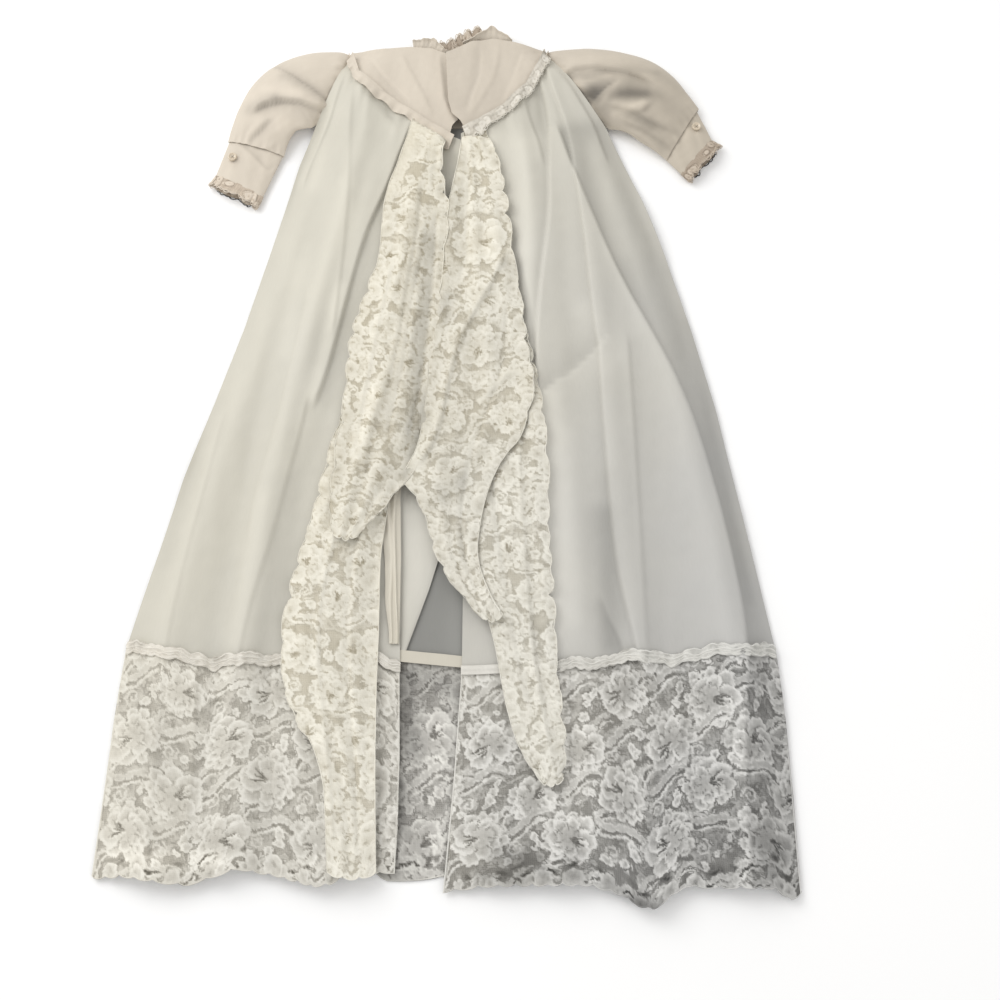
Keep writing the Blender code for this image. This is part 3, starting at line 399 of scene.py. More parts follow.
# A ruffle lies between left and right, row by row down the gown. Its scalloped stretches are
# the heights between which each of its long edges is scalloped.
Ruffle = namedtuple("Ruffle", "rows left_scallops right_scallops")
RUFFLES = {
    "left_outer": Ruffle((
        (374, -24, -9), (300, -43, -14), (224, -62, -22), (150, -85, -36), (35, -109, -50),
        (-59, -134, -62), (-137, -148, -62), (-184, -146, -63), (-225, -124, -63),
        (-270, -108, -62), (-349, -103, -60)), (360, -230), (400, 390)),
    "right_outer": Ruffle((
        (270, 34, 52), (187, 24, 64), (133, 18, 78), (95, 14, 87), (30, 10, 90), (-20, 14, 92),
        (-93, 30, 93), (-141, 44, 97), (-200, 54, 101), (-240, 65, 103), (-268, 84, 102)),
        (300, 290), (260, -300)),
    "left_inner": Ruffle((
        (403, -38, -10), (387, -42, -8), (374, -46, -9), (350, -53, -13), (325, -63, -11),
        (300, -67, -6), (250, -69, -9), (211, -76, -12), (174, -87, -13), (133, -94, -15),
        (81, -98, -17), (50, -100, -22), (30, -102, -34), (-10, -108, -60),
        (-40, -104, -84)), (230, -40), (400, -40)),
    "right_inner": Ruffle((
        (399, 15, 33), (390, 14, 35), (372, 10, 40), (350, 7, 46), (329, 2, 48), (273, -9, 56),
        (208, -13, 66), (154, -19, 69),
        (102, -21, 82), (50, -28, 62), (20, -43, 44), (-10, -20, 34), (-60, -8, 27),
        (-98, 18, 40), (-117, 36, 52)), (30, -120), (372, 40)),
}

# How much darker the lower end of a ruffle is
RUFFLE_SHADE = {"left_outer": -0.06, "right_outer": -0.04, "left_inner": 0.02, "right_inner": 0.02}

# The large blossoms on top of the right inner ruffle, with their size and turn
BLOSSOMS = ((31, 262, 57, 0.4), (33, 150, 46, 2.0), (4, 20, 44, 5.5), (36, -84, 30, 1.0))

# A sleeve runs from the armhole to the cuff. Each section is a flattened ring between its
# outer and its inner edge. The first lies under the skirt and the yoke.
Section = namedtuple("Section", "outer inner height")
SLEEVES = {side: [Section(*mm(ends), height / 1000) for *ends, height in rows] for side, rows in (
    ("left", (
        ((-101, 481), (-132, 400), 7), ((-106.6, 481.5), (-138.1, 399), 12),
        ((-118, 483), (-141.5, 395.2), 17), ((-147.6, 479), (-148, 392.5), 23),
        ((-178.2, 466), (-156, 390), 25), ((-201, 445), (-160, 385.5), 24),
        ((-214.5, 419.5), (-164, 378), 22), ((-222.2, 397.5), (-166.8, 371), 17),
        ((-226.5, 380), (-169, 363), 12.5))),
    ("right", (
        ((94, 484), (152, 397), 7), ((99.6, 484.3), (157.6, 396.3), 12),
        ((111.8, 485), (161, 393), 17), ((142.9, 485), (166.5, 391), 23),
        ((174, 480), (173, 389), 25), ((204, 470), (181, 385.5), 24),
        ((226, 453), (191, 377.5), 23), ((242, 432.5), (205, 369), 18),
        ((252.6, 418), (218, 359), 12.5))),
)}
CUFF_ENDS = {"left": Section(*mm(((-237, 342), (-189, 317))), CUFF_HEIGHT),
             "right": Section(*mm(((265, 382), (233, 343))), CUFF_HEIGHT)}
# Places of the buttons, down a cuff and out from its middle
BUTTON_PLACES = {"left": (0.46, 0.62), "right": (0.38, 0.60)}

# A collar edge stands between its foot and its tips
COLLAR_FOOT = 0.0068
COLLARS = {
    "left": (mm(((-40, 488.5), (-20, 487), (-9, 481))), mm(((-41, 495), (-19, 496), (-6, 483))),
             0.005),
    "right": (mm(((13, 491), (28, 497), (42, 498.5), (62, 494.5))),
              mm(((11, 492), (28, 501), (41, 510), (62, 496))), 0.006),
}
NECK_LACE_BASE = mm(((-10, 479), (4, 484), (18, 494), (36, 501)))
NECK_LACE_WIDTH = 0.013
YOKE_LACE_WIDTH = 0.012
BACK_FOLD = (mm(((-47, 20), (-47, -60), (-47, -150))),
             mm(((8, 10), (-3, -42), (-17, -90), (-38, -150))))

# A button from the middle of its back round to the middle of its dish: shares of its radius and
# of its depth
BUTTON_PROFILE = ((0.0, 0.0), (0.80, 0.0), (0.97, 0.22), (1.0, 0.55), (0.93, 0.9), (0.82, 1.0),
                  (0.70, 0.9), (0.58, 0.66), (0.30, 0.60), (0.02, 0.60))

# The solids that lie over a lace and hide part of it
COVERS = {
    "back_net": ("front_skirt_left", "front_skirt_right", "hem_lace_left", "hem_lace_right"),
    "left_hem_net": ("ruffle_left_outer",),
    "right_hem_net": ("ruffle_right_outer",),
    "left_outer_ruffle": ("ruffle_left_inner",),
    "right_outer_ruffle": ("ruffle_right_inner",),
}


def even(count):
    """Numbers from 0 to 1 in even steps."""
    return np.linspace(0, 1, count)


def turns(count):
    """Angles once round a circle in even steps."""
    return 2 * np.pi * np.arange(count) / count


def closed(grid):
    """A grid that goes round something, with its first column again at its end."""
    return np.concatenate((grid, grid[:, :1]), axis=1)


def cells(grid):
    """The four corners of each cell of a grid: a place, then below, below right and right."""
    return np.stack((grid[:-1, :-1], grid[1:, :-1], grid[1:, 1:], grid[:-1, 1:]), axis=-1)


def smooth(value):
    """Ease from 0 at 0 to 1 at 1."""
    value = np.clip(value, 0.0, 1.0)
    return value * value * (3.0 - 2.0 * value)


def bump(distance, left, right):
    """A rounded ridge, 1 at its crest and 0 beyond its two widths."""
    width = np.where(distance < 0, left, right)
    return np.where(np.abs(distance) < width, 0.5 + 0.5 * np.cos(np.pi * distance / width), 0.0)


def along(points, part):
    """The points at the given parts of the way along a line, by length."""
    points = np.array(points, float)
    steps = np.linalg.norm(np.diff(points, axis=0), axis=1)
    reach = np.concatenate(([0.0], np.cumsum(steps))) / steps.sum()
    return np.stack([np.interp(part, reach, column) for column in points.T], axis=-1)


def x_at(points, y):
    """Where a line that runs down the gown is at heights y."""
    ordered = np.array(points)[np.argsort([point[1] for point in points])]
    return np.interp(y, ordered[:, 1], ordered[:, 0])


def patch(left, right, top, bottom, u, v):
    """Rows and columns of plan points inside four edges, u across and v down."""
    a, b = along(left, v)[:, None], along(right, v)[:, None]
    c, d = along(top, u)[None], along(bottom, u)[None]
    u, v = u[None, :, None], v[:, None, None]
    corners = ((1 - u) * (1 - v) * np.array(top[0]) + u * (1 - v) * np.array(top[-1])
               + (1 - u) * v * np.array(bottom[0]) + u * v * np.array(bottom[-1]))
    return (1 - u) * a + u * b + (1 - v) * c + v * d - corners


def relax(values, passes):
    """Evens out a grid of heights and keeps its border."""
    for _ in range(passes):
        for axis in (0, 1):
            pad = [(0, 0), (0, 0)]
            pad[axis] = (1, 1)
            wide = np.pad(values, pad, mode="reflect", reflect_type="odd")
            low, high = [slice(None)] * 2, [slice(None)] * 2
            low[axis], high[axis] = slice(0, -2), slice(2, None)
            values = 0.25 * wide[tuple(low)] + 0.5 * values + 0.25 * wide[tuple(high)]
    return values


def ripple(plan, size, seed):
    """Soft uneven waves of about the given size, between -1 and 1."""
    random = np.random.default_rng(seed)
    total = np.zeros(plan.shape[:-1])
    count = 9
    for _ in range(count):
        angle, phase = random.uniform(0, 2 * math.pi, 2)
        pace = 2 * math.pi / (size * random.uniform(0.7, 1.6))
        total += np.sin(pace * (plan[..., 0] * math.cos(angle) + plan[..., 1] * math.sin(angle))
                        + phase)
    return total / count * 1.6


def beside(line, plan):
    """How far plan points lie to the left of a line, how far along it, and its length."""
    line = along(line, even(40))
    for _ in range(6):
        line[1:-1] = 0.25 * line[:-2] + 0.5 * line[1:-1] + 0.25 * line[2:]
    nearest = np.full(plan.shape[:-1], 9.0)
    away, reach, start = np.zeros(nearest.shape), np.zeros(nearest.shape), 0.0
    for a, b in zip(line[:-1], line[1:]):
        length = np.hypot(*(b - a))
        way = (b - a) / length
        off = plan - a
        t = np.clip(off @ way, 0, length)
        gap = np.hypot(*np.moveaxis(off - t[..., None] * way, -1, 0))
        closer = gap < nearest
        nearest = np.where(closer, gap, nearest)
        away = np.where(closer, np.copysign(gap, off @ (-way[1], way[0])), away)
        reach = np.where(closer, start + t, reach)
        start += length
    return away, reach, start


def edge_folds(name, plan):
    """What the edges of a piece's folds add to its heights, and the painted shade and light that
    they and the piece's pools put into its colour.
    """
    height, shade = np.zeros(plan.shape[:-1]), np.zeros(plan.shape[:-1])
    for edge in EDGES.get(name, ()):
        rise, sink, crest, valley, dark = mm(edge[1:6])
        away, reach, length = beside(mm(edge.line), plan)
        away = away * edge.side
        step = smooth(away / EDGE_WIDTH + 0.5)
        fade = smooth(reach / EDGE_FADE) * smooth((length - reach) / EDGE_FADE)
        height += fade * (rise * step * np.exp(-np.maximum(away, 0) / crest)
                          - sink * (1 - step) * np.exp(np.minimum(away, 0) / valley))
        shade += fade * edge.shade * (1 - step) * np.exp(np.minimum(away, 0) / dark)
    for x0, y0, x1, y1, width, dark in PAINTED_POOLS.get(name, ()):
        a, b = mm((x0, y0)), mm((x1, y1))
        part = np.clip((plan - a) @ (b - a) / ((b - a) @ (b - a)), 0, 1)
        away = np.hypot(*np.moveaxis(plan - a - part[..., None] * (b - a), -1, 0))
        shade += dark * np.exp(-(away * 1000 / width) ** 2)
    return height, shade


class Solids:
    """Some of the frame's solids, as one body for rays to fall on."""

    def __init__(self, *names):
        points, faces = [], []
        for name in names:
            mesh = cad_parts[name].data
            mesh.calc_loop_triangles()
            faces += [tuple(len(points) + k for k in face.vertices) for face in mesh.loop_triangles]
            points += [vertex.co.copy() for vertex in mesh.vertices]
        self.tree = BVHTree.FromPolygons(points, faces)

    def top(self, plan):
        """Height of the top of the solids over each plan point."""
        heights = np.empty(plan.shape[:-1])
        down = Vector((0.0, 0.0, -1.0))
        for place in np.ndindex(heights.shape):
            x, y = plan[place][0] - MIDDLE[0], plan[place][1] - MIDDLE[1]
            hit = self.tree.ray_cast(Vector((x, y, RAY_START)), down)[0]
            if hit is None:
                hit = self.tree.find_nearest(Vector((x, y, TOP_HEIGHT)))[0]
            heights[place] = hit.z
        return heights

    def covered(self, plan):
        """1 for the plan points that lie well inside the solids' outline, and 0 elsewhere."""
        hit = np.empty(plan.shape[:-1])
        down = Vector((0.0, 0.0, -1.0))
        for place in np.ndindex(hit.shape):
            start = Vector((plan[place][0] - MIDDLE[0], plan[place][1] - MIDDLE[1], RAY_START))
            hit[place] = self.tree.ray_cast(start, down)[0] is not None
        return (relax(hit, 10) > 0.98).astype(float)


def top_of(plan, passes, *names):
    """Height of the top of some solids over each plan point, evened out."""
    return relax(Solids(*names).top(plan), passes)


def crossed(points):
    """Vectors across a grid of points, each by the one down it."""
    return np.cross(np.gradient(points, axis=1), np.gradient(points, axis=0))


def normals_of(points):
    """Unit normals of a grid of points that can be seen from above."""
    normal = crossed(points)
    normal /= np.linalg.norm(normal, axis=-1, keepdims=True)
    return normal * np.sign(normal[..., 2].mean())


def area_of(points):
    """Area of a draped grid, which is the flat area of cloth that doesn't stretch."""
    a, b = points[1:, 1:] - points[:-1, :-1], points[1:, :-1] - points[:-1, 1:]
    return float(np.linalg.norm(np.cross(a, b), axis=-1).sum() / 2)


def placed(name, data):
    """A new object in the scene."""
    thing = bpy.data.objects.new(name, data)
    bpy.context.scene.collection.objects.link(thing)
    return thing


def publish(name, points, quads, uv, material, **values):
    """A mesh object of quads in the frame's coordinates. Values are numbers for each point,
    which the material reads by name."""
    mesh = bpy.data.meshes.new(name)
    points = points - np.array((*MIDDLE, 0.0))
    points[:, 2] = np.maximum(points[:, 2], 0.0)
    mesh.vertices.add(len(points))
    mesh.vertices.foreach_set("co", points.astype(np.float32).ravel())
    mesh.loops.add(quads.size)
    mesh.loops.foreach_set("vertex_index", quads.astype(np.int32).ravel())
    mesh.polygons.add(len(quads))
    mesh.polygons.foreach_set("loop_start", np.arange(0, quads.size, 4, dtype=np.int32))
    mesh.update(calc_edges=True)
    layer = mesh.uv_layers.new(name="cloth")
    layer.data.foreach_set("uv", uv[quads.ravel()].astype(np.float32).ravel())
    for key, numbers in values.items():
        mesh.attributes.new(key, "FLOAT", "POINT").data.foreach_set(
            "value", np.asarray(numbers, np.float32).ravel())
    mesh.shade_smooth()
    mesh.set_sharp_from_angle(angle=math.radians(60))
    mesh.materials.append(material)
    return placed(name, mesh)


def wall(upper, lower, around=False):
    """The quads of a closed wall between two grids; around joins its last column to its first."""
    rows, columns = upper.shape[:2]
    index = np.arange(rows * columns).reshape(rows, columns)
    if around:
        index = closed(index)
    skin = cells(index).reshape(-1, 4)
    rims = [index[0], index[-1][::-1]]
    if not around:
        rims += [index[::-1, 0], index[:, -1]]
    under = rows * columns
    quads = [skin, skin[:, ::-1] + under]
    for rim in rims:
        quads.append(np.stack((rim[:-1], rim[1:], rim[1:] + under, rim[:-1] + under), axis=-1))
    quads = np.concatenate(quads)
    points = np.concatenate((upper.reshape(-1, 3), lower.reshape(-1, 3)))
    corner = points[quads] - points.mean(axis=0)
    volume = sum(np.einsum("ij,ij->i", corner[:, 0], np.cross(corner[:, k], corner[:, k + 1])).sum()
                 for k in (1, 2))
    return points, quads[:, ::-1] if volume < 0 else quads


def two_skins(name, upper, lower, uv, shade, material, weave=None, around=False):
    """A closed wall between two grids, as a mesh object with the same flat coordinates, shade
    and weave on both of its sides."""
    points, quads = wall(upper, lower, around)
    values = {} if weave is None else {"worked": np.tile(weave.read(uv).ravel(), 2)}
    return publish(name, points, quads, np.tile(uv.reshape(-1, 2), (2, 1)), material,
                   shade=np.tile(shade.ravel(), 2), **values)


def hollows(points, passes):
    """How far each point of a grid lies below its surroundings, as a share of FOLD_DEPTH."""
    z = points[..., 2]
    return np.clip((relax(z, passes) - z) / FOLD_DEPTH, -0.35, 1.0)


class Drape:
    """A grid of points in space and the flat cloth it is made of: a runs across it, b down it.
    Where it is cut, its rows keep their own lengths and starts, so that a pattern runs on over
    its outline; elsewhere they are gathered to one length."""

    def __init__(self, points, shade=0.0, cut=False):
        self.points, self.normals = points, normals_of(points)
        # Painted shade in the hollows of the cloth, and a little painted light on its ridges
        self.shade = shade + HOLLOW_SHADE * hollows(points, 12 if cut else 30)
        across = np.linalg.norm(np.diff(points, axis=1), axis=-1)
        down = np.linalg.norm(np.diff(points, axis=0), axis=-1).mean(axis=1)
        self.b = np.concatenate(([0.0], np.cumsum(down)))
        across = across if cut else np.broadcast_to(across.mean(axis=0), across.shape)
        self.a = np.hstack((np.zeros((len(points), 1)), np.cumsum(across, axis=1)))
        if cut:
            self.a += points[:, :1, 0] - points[:, 0, 0].min()
        self.wide, self.deep = self.a.max(), self.b[-1]
        self.area = min(area_of(points), self.wide * self.deep)
        self.hidden = np.zeros(points.shape[:2])

    def uv(self):
        return np.stack((self.a, np.broadcast_to(self.b[:, None], self.a.shape)), axis=-1)

    def edge(self, column):
        """The flat line down a column."""
        return np.column_stack((self.a[:, column], self.b))

    def flat_of(self, line):
        """Flat points of a line in the plan, on cut cloth."""
        return np.column_stack((line[:, 0] - self.points[:, 0, 0].min(),
                                np.interp(-line[:, 1], -self.points[:, 0, 1], self.b)))

    def at(self, flat):
        """Points in space of flat points (across, down and height over the cloth), their shade,
        and which of them lie on the cloth where it shows."""
        i = np.interp(flat[:, 1], self.b, np.arange(len(self.b)))
        i += np.minimum(flat[:, 1], 0) / self.b[1]
        i += np.maximum(flat[:, 1] - self.b[-1], 0) / (self.b[-1] - self.b[-2])
        row = np.clip(i.astype(int), 0, len(self.b) - 2)
        i = i - row
        last = self.a.shape[1] - 1
        start = (1 - i) * self.a[row, 0] + i * self.a[row + 1, 0]
        end = (1 - i) * self.a[row, -1] + i * self.a[row + 1, -1]
        j = (flat[:, 0] - start) / (end - start) * last
        column = np.clip(j.astype(int), 0, last - 1)
        within = (j > -0.01) & (j < last + 0.01)
        i, j = i[:, None], (j - column)[:, None]
        found = []
        for grid in (self.points, self.normals, self.shade[..., None], self.hidden[..., None]):
            found.append((1 - i) * ((1 - j) * grid[row, column] + j * grid[row, column + 1])
                         + i * ((1 - j) * grid[row + 1, column] + j * grid[row + 1, column + 1]))
        within &= found[3].ravel() < 0.5
        return found[0] + found[1] * flat[:, 2:], found[2].ravel(), within

    def shell(self, name, thickness, material, lower=None, weave=None):
        """The cloth as a thin closed shell under its points."""
        if lower is None:
            lower = self.points - self.normals * thickness
        return two_skins(name, self.points, lower, self.uv(), self.shade, material, weave)


class Cords:
    """Raised threads in a lace's flat coordinates, gathered until they are draped."""

    def __init__(self):
        self.points, self.quads, self.count = [], [], 0

    def run(self, path, width, low=THREAD_LOW, high=THREAD_HIGH):
        """A raised thread along a path: its edges at low and its middle at high."""
        path = np.asarray(path, float)
        way = np.gradient(path, axis=0)
        way /= np.linalg.norm(way, axis=1, keepdims=True) + 1e-12
        side = np.stack((-way[:, 1], way[:, 0]), axis=1) * width / 2
        rails = ((side, low), (side * 0, high), (-side, low), (side * 0, low - THREAD_LOW))
        count = len(path)
        self.points += [np.column_stack((path + shift, np.full(count, height)))
                        for shift, height in rails]
        k = np.arange(count - 1) + self.count
        for rail in range(4):
            this, following = count * rail, count * ((rail + 1) % 4)
            self.quads.append(np.stack((k + this, k + 1 + this, k + 1 + following, k + following),
                                       axis=1))
        self.count += 4 * count

    def across(self, wide, low, count, width):
        """A thread straight across the lace."""
        self.run(np.column_stack((np.linspace(0, wide, count), np.full(count, low))), width)

    def loops(self, path, step, side, size):
        """Small uneven half loops along a path, on its left where side is 1."""
        path = np.asarray(path, float)
        length = np.linalg.norm(np.diff(path, axis=0), axis=1).sum()
        theta = np.linspace(0, math.pi, 6)[:, None]
        for k in range(int(length / step)):
            a, b = along(path, np.array((k + 0.08, k + 0.92)) * step / length)
            out = np.array((a[1] - b[1], b[0] - a[0])) / np.hypot(*(b - a)) * side
            tall = size * (1 + 0.4 * math.sin(2.4 * k))
            self.run((a + b) / 2 + (a - b) / 2 * np.cos(theta) + out * np.sin(theta) * tall, 0.0009)

    def draped(self, name, drape, material):
        """The threads as a mesh object on a draped net."""
        flat, quads = np.concatenate(self.points), np.concatenate(self.quads)
        points, shade, _ = drape.at(flat)
        return publish(name, points, quads, flat[:, :2], material, worked=np.ones(len(flat)),
                       shade=shade)


class Weave:
    """How closely a lace is worked, over a grid of its flat coordinates: 0 is open net, 0.5 the
    inside of a motif, 1 its cord and -1 a hole."""

    def __init__(self, across, down, step, seed):
        self.a = np.linspace(0, across, int(across / step) + 1)
        self.b = np.linspace(0, down, int(down / step) + 1)
        self.value = np.zeros((len(self.b), len(self.a)))
        self.random = np.random.default_rng(seed)

    def places(self):
        """The flat coordinates of its grid."""
        return np.dstack(np.meshgrid(self.a, self.b))

    def near(self, centre, reach):
        """The part of the grid near a centre, and its coordinates measured from there."""
        rows = slice(*np.searchsorted(self.b, (centre[1] - reach, centre[1] + reach)))
        columns = slice(*np.searchsorted(self.a, (centre[0] - reach, centre[0] + reach)))
        x, y = np.meshgrid(self.a[columns] - centre[0], self.b[rows] - centre[1])
        return (rows, columns), x, y

    def work(self, part, value, cover):
        """Works a motif over what is there, where its cover is 1."""
        self.value[part] += (value - self.value[part]) * cover

    def stroke(self, path, width, rim=0.9, inside=None, soft=0.0008):
        """A ribbon along a path. Without an inside it is one plain thread."""
        width = np.interp(even(48), even(len(path)), np.broadcast_to(width, len(path)))
        path = along(path, even(48))
        low, high = path.min(axis=0), path.max(axis=0)
        part, x, y = self.near((low + high) / 2, (high - low).max() / 2 + 0.006)
        if not x.size:
            return
        x, y = x + (low + high)[0] / 2, y + (low + high)[1] / 2
        away = np.full(x.shape, 1.0)
        for (px, py), w in zip(path, width):
            away = np.minimum(away, np.hypot(x - px, y - py) - w / 2)
        value = np.full(x.shape, rim)
        if inside is not None:
            value = inside + (rim - inside) * smooth(1 + away / 0.0016)
        self.work(part, value, smooth(0.5 - away / soft / 2))

    def petal(self, centre, size, angle=0.0, stretch=1.0, eye=0.5, rim=1.0):
        """A rounded petal with a bright rim, a thin gap round it and a darker eye."""
        part, x, y = self.near(centre, size * 0.75)
        if not x.size:
            return
        u = x * math.cos(angle) + y * math.sin(angle)
        v = (y * math.cos(angle) - x * math.sin(angle)) / stretch
        theta, (p, q) = np.arctan2(v, u), self.random.uniform(0, 6, 2)
        wave = 0.08 * np.sin(2 * theta + p) + 0.05 * np.sin(3 * theta + q)
        if size > 0.013:
            wave += 0.035 * np.sin(7 * theta + p)
        depth = size / 2 - np.hypot(u, v) * (1 + wave)
        self.value[part] -= 0.30 * np.exp(-(depth / 0.0016) ** 2) * (depth < 0)
        bright = (rim - 0.42) * np.exp(-np.maximum(depth - 0.0018, 0) / (0.07 * size + 0.0009))
        value = (0.42 + bright
                 - eye * np.exp(-((u + 0.12 * size) ** 2 + 2 * v ** 2) / (0.13 * size) ** 2))
        self.work(part, np.clip(value, -0.6, 1.0), smooth(depth / 0.0018 + 0.5))

    def flower(self, centre, size, angle):
        """A full blossom: a fan of small petals behind broad ones, and a heart with slits."""
        random = self.random
        centre = np.array(centre, float)

        def spoke(turn, reach):
            way = np.array((math.cos(angle + turn), math.sin(angle + turn)))
            return centre + size * reach * way

        for turn in np.linspace(0.6, 4.2, 8) + random.uniform(-0.14, 0.14, 8):
            self.petal(spoke(turn, 0.40), size * random.uniform(0.17, 0.27), angle + turn, 0.9, 0.3)
        for turn in (5.0, 5.85, 0.3):
            turn += random.uniform(-0.14, 0.14)
            self.petal(spoke(turn, 0.27), size * random.uniform(0.40, 0.50), angle + turn, 0.9, 0.0)
        for turn in np.linspace(0.9, 4.3, 5) + random.uniform(-0.15, 0.15, 5):
            self.petal(spoke(turn, 0.22), size * random.uniform(0.28, 0.40), angle + turn, 0.9, 0.1)
        self.petal(spoke(2.5, 0.04), size * 0.42, angle, 0.9, 0.0, 0.6)
        for turn in (-0.5, -0.12, 0.26, 1.3, 2.2, 3.1, 3.9, 4.9):
            main = abs(turn) < 1
            start = spoke(turn * 0.6, 0.02) if main else spoke(turn, 0.14)
            end = spoke(turn + random.uniform(-0.1, 0.1), random.uniform(0.24, 0.36))
            path = start + (end - start) * even(12)[:, None]
            if main:
                self.stroke(path + size * 0.022, 0.0011, 0.95)
            width = (0.0018 if main else 0.0012) * np.sin(np.linspace(0.3, 3.0, 12))
            self.stroke(path, width, -0.8 if main else -0.2)

    def leaf(self, centre, length, angle, swing=0.13, gap=-0.35):
        """Two wavy ribbons, one broad and toothed and one narrow, with a gap between them."""
        t = even(30)
        swell = np.sin(math.pi * t)
        path = np.column_stack((length * (t - 0.5), length * swing * np.sin(2 * math.pi * t)))
        teeth = 0.84 + 0.24 * np.cos(2 * math.pi * 6 * t)
        c, s = math.cos(angle), math.sin(angle)
        for shift, width, rim, inside in (
                (0.09, (0.0016 - 0.0018 * gap) * swell, gap, None),
                (0.0, length * 0.13 * swell ** 0.7 * teeth, 1.0, 0.55),
                (0.15, 0.0026 * swell ** 0.5, 0.95, None)):
            moved_path = (path + (0.0, length * shift)) @ np.array(((c, s), (-s, c))) + centre
            self.stroke(moved_path, width, rim, inside)

    def scroll(self, centre, size, angle):
        """A tendril that curls in on itself."""
        t = even(30)
        theta = angle + t * 2.8 * math.pi
        path = np.column_stack((np.cos(theta), np.sin(theta))) * (size / 2 * (1 - 0.8 * t))[:, None]
        self.stroke(path + centre, 0.0017, 0.9)

    def faint(self, share, size):
        """Turns what is worked so far into a faint layer seen through the net."""
        self.value = share * self.value + 0.16 * ripple(self.places(), size, 5)

    def roughen(self, amount):
        """Makes the outlines ragged and the work uneven, as in an old machine lace."""
        grid = self.places()
        moved_grid = grid.copy()
        for axis in (0, 1):
            moved_grid[..., axis] += amount * (1.3 * ripple(grid, 0.007, 70 + axis)
                                               + 0.8 * ripple(grid, 0.0030, 72 + axis))
        self.value = self.read(moved_grid)
        self.value *= 0.95 + 0.25 * ripple(grid, 0.024, 74)
        self.value += 0.07 * ripple(grid, 0.0026, 75) + 0.07 * ripple(grid, 0.0055, 76)

    def read(self, uv):
        """Values at flat places."""
        return self.value[np.clip(np.searchsorted(self.b, uv[..., 1]), 0, len(self.b) - 1),
                          np.clip(np.searchsorted(self.a, uv[..., 0]), 0, len(self.a) - 1)]

    def layer(self, name, drape, material, relief):
        """The worked parts as a raised layer on a draped net."""
        value, flat = np.clip(self.value, -1, 1), self.places()
        bulge = 0.75 * np.maximum(value, 0) + 0.1 * ripple(flat, 0.006, 9) * (value > 0.3)
        lift = THREAD_LOW + relief * bulge
        flat = flat.reshape(-1, 2)
        points, shade, within = drape.at(np.column_stack((flat, lift.ravel())))
        kept = (cells(np.abs(value) > RAISED_FROM).any(axis=-1)
                & cells(within.reshape(value.shape)).all(axis=-1))
        quads = cells(np.arange(value.size).reshape(value.shape))[kept]
        used, quads = np.unique(quads, return_inverse=True)
        quads = quads.reshape(-1, 4)
        if (crossed(drape.points) * drape.normals).sum() > 0:
            quads = quads[:, ::-1]
        return publish(name, points[used], quads, flat[used], material,
                       worked=value.ravel()[used], shade=shade[used])


def joined(tree, kind, inputs=(), **settings):
    """A node with its settings, and its inputs linked from sockets or set to values."""
    node = tree.nodes.new(kind)
    for key, value in settings.items():
        setattr(node, key, value)
    for key, value in dict(inputs).items():
        if isinstance(value, bpy.types.NodeSocket):
            tree.links.new(value, node.inputs[key])
        else:
            node.inputs[key].default_value = value
    return node


def sum_of(tree, first, factor, rest, clamp=False):
    """First times factor plus rest, as a socket."""
    return joined(tree, "ShaderNodeMath", {0: first, 1: factor, 2: rest},
                  operation="MULTIPLY_ADD", use_clamp=clamp).outputs[0]


def mixed(tree, factor, first, second):
    """From one colour to another, as a socket."""
    mix = joined(tree, "ShaderNodeMix", {0: factor, 6: first, 7: second}, data_type="RGBA",
                 clamp_factor=True)
    return mix.outputs[2]


def colour(red, green, blue):
    """A linear colour from its screen values, 0 to 255."""
    return tuple(((value / 255 + 0.055) / 1.055) ** 2.4 for value in (red, green, blue)) + (1.0,)


def between(tree, share, first, second):
    """From one colour in screen values to another, as a socket."""
    return mixed(tree, share, colour(*first), colour(*second))


def painted_shade_spread(tree):
    """From 0 at the top left of the gown to 1 at its lower right, with uneven stains. The colours
    it mixes are darker towards the lower right, a painted shade as if lit from the top left.
    """
    place = joined(tree, "ShaderNodeTexCoord").outputs["Object"]
    slope = joined(tree, "ShaderNodeVectorMath", {0: place, 1: (2.0, -1.1, 0.0)},
                   operation="DOT_PRODUCT").outputs["Value"]
    stain = joined(tree, "ShaderNodeTexNoise", {"Vector": place, "Scale": 6.0, "Detail": 3.0})
    return sum_of(tree, sum_of(tree, stain.outputs[0], 0.8, slope), 0.8, 0.0)


def flat_place(tree, scale):
    """The cloth's flat coordinates, times a scale across and down."""
    uv = joined(tree, "ShaderNodeUVMap", uv_map="cloth").outputs[0]
    return joined(tree, "ShaderNodeVectorMath", {0: uv, 1: (*scale, 1.0)},
                  operation="MULTIPLY").outputs[0]


def noise(tree, scale, detail=2.0):
    """Uneven patches in the cloth's flat coordinates."""
    return joined(tree, "ShaderNodeTexNoise", {"Vector": flat_place(tree, scale), "Scale": 1.0,
                                               "Detail": detail}).outputs[0]


def finish(tree, shader, tone, bright, relief, strength, roughness, sheen):
    """Links a tone, times its brightness less the point value shade, which is painted shade and,
    where below 0, painted light; and a relief.
    """
    shade = joined(tree, "ShaderNodeAttribute", attribute_name="shade").outputs["Fac"]
    light = sum_of(tree, shade, -1.0, bright)
    tree.links.new(joined(tree, "ShaderNodeVectorMath", {0: tone, 1: light},
                          operation="MULTIPLY").outputs[0], shader.inputs["Base Color"])
    raised = joined(tree, "ShaderNodeBump", {"Height": relief, "Strength": strength,
                                             "Distance": 0.0004})
    tree.links.new(raised.outputs[0], shader.inputs["Normal"])
    shader.inputs["Roughness"].default_value = roughness
    shader.inputs["Sheen Weight"].default_value = sheen


def material_of(name):
    material = bpy.data.materials.new(name)
    material.use_nodes = True
    return material, material.node_tree, material.node_tree.nodes["Principled BSDF"]


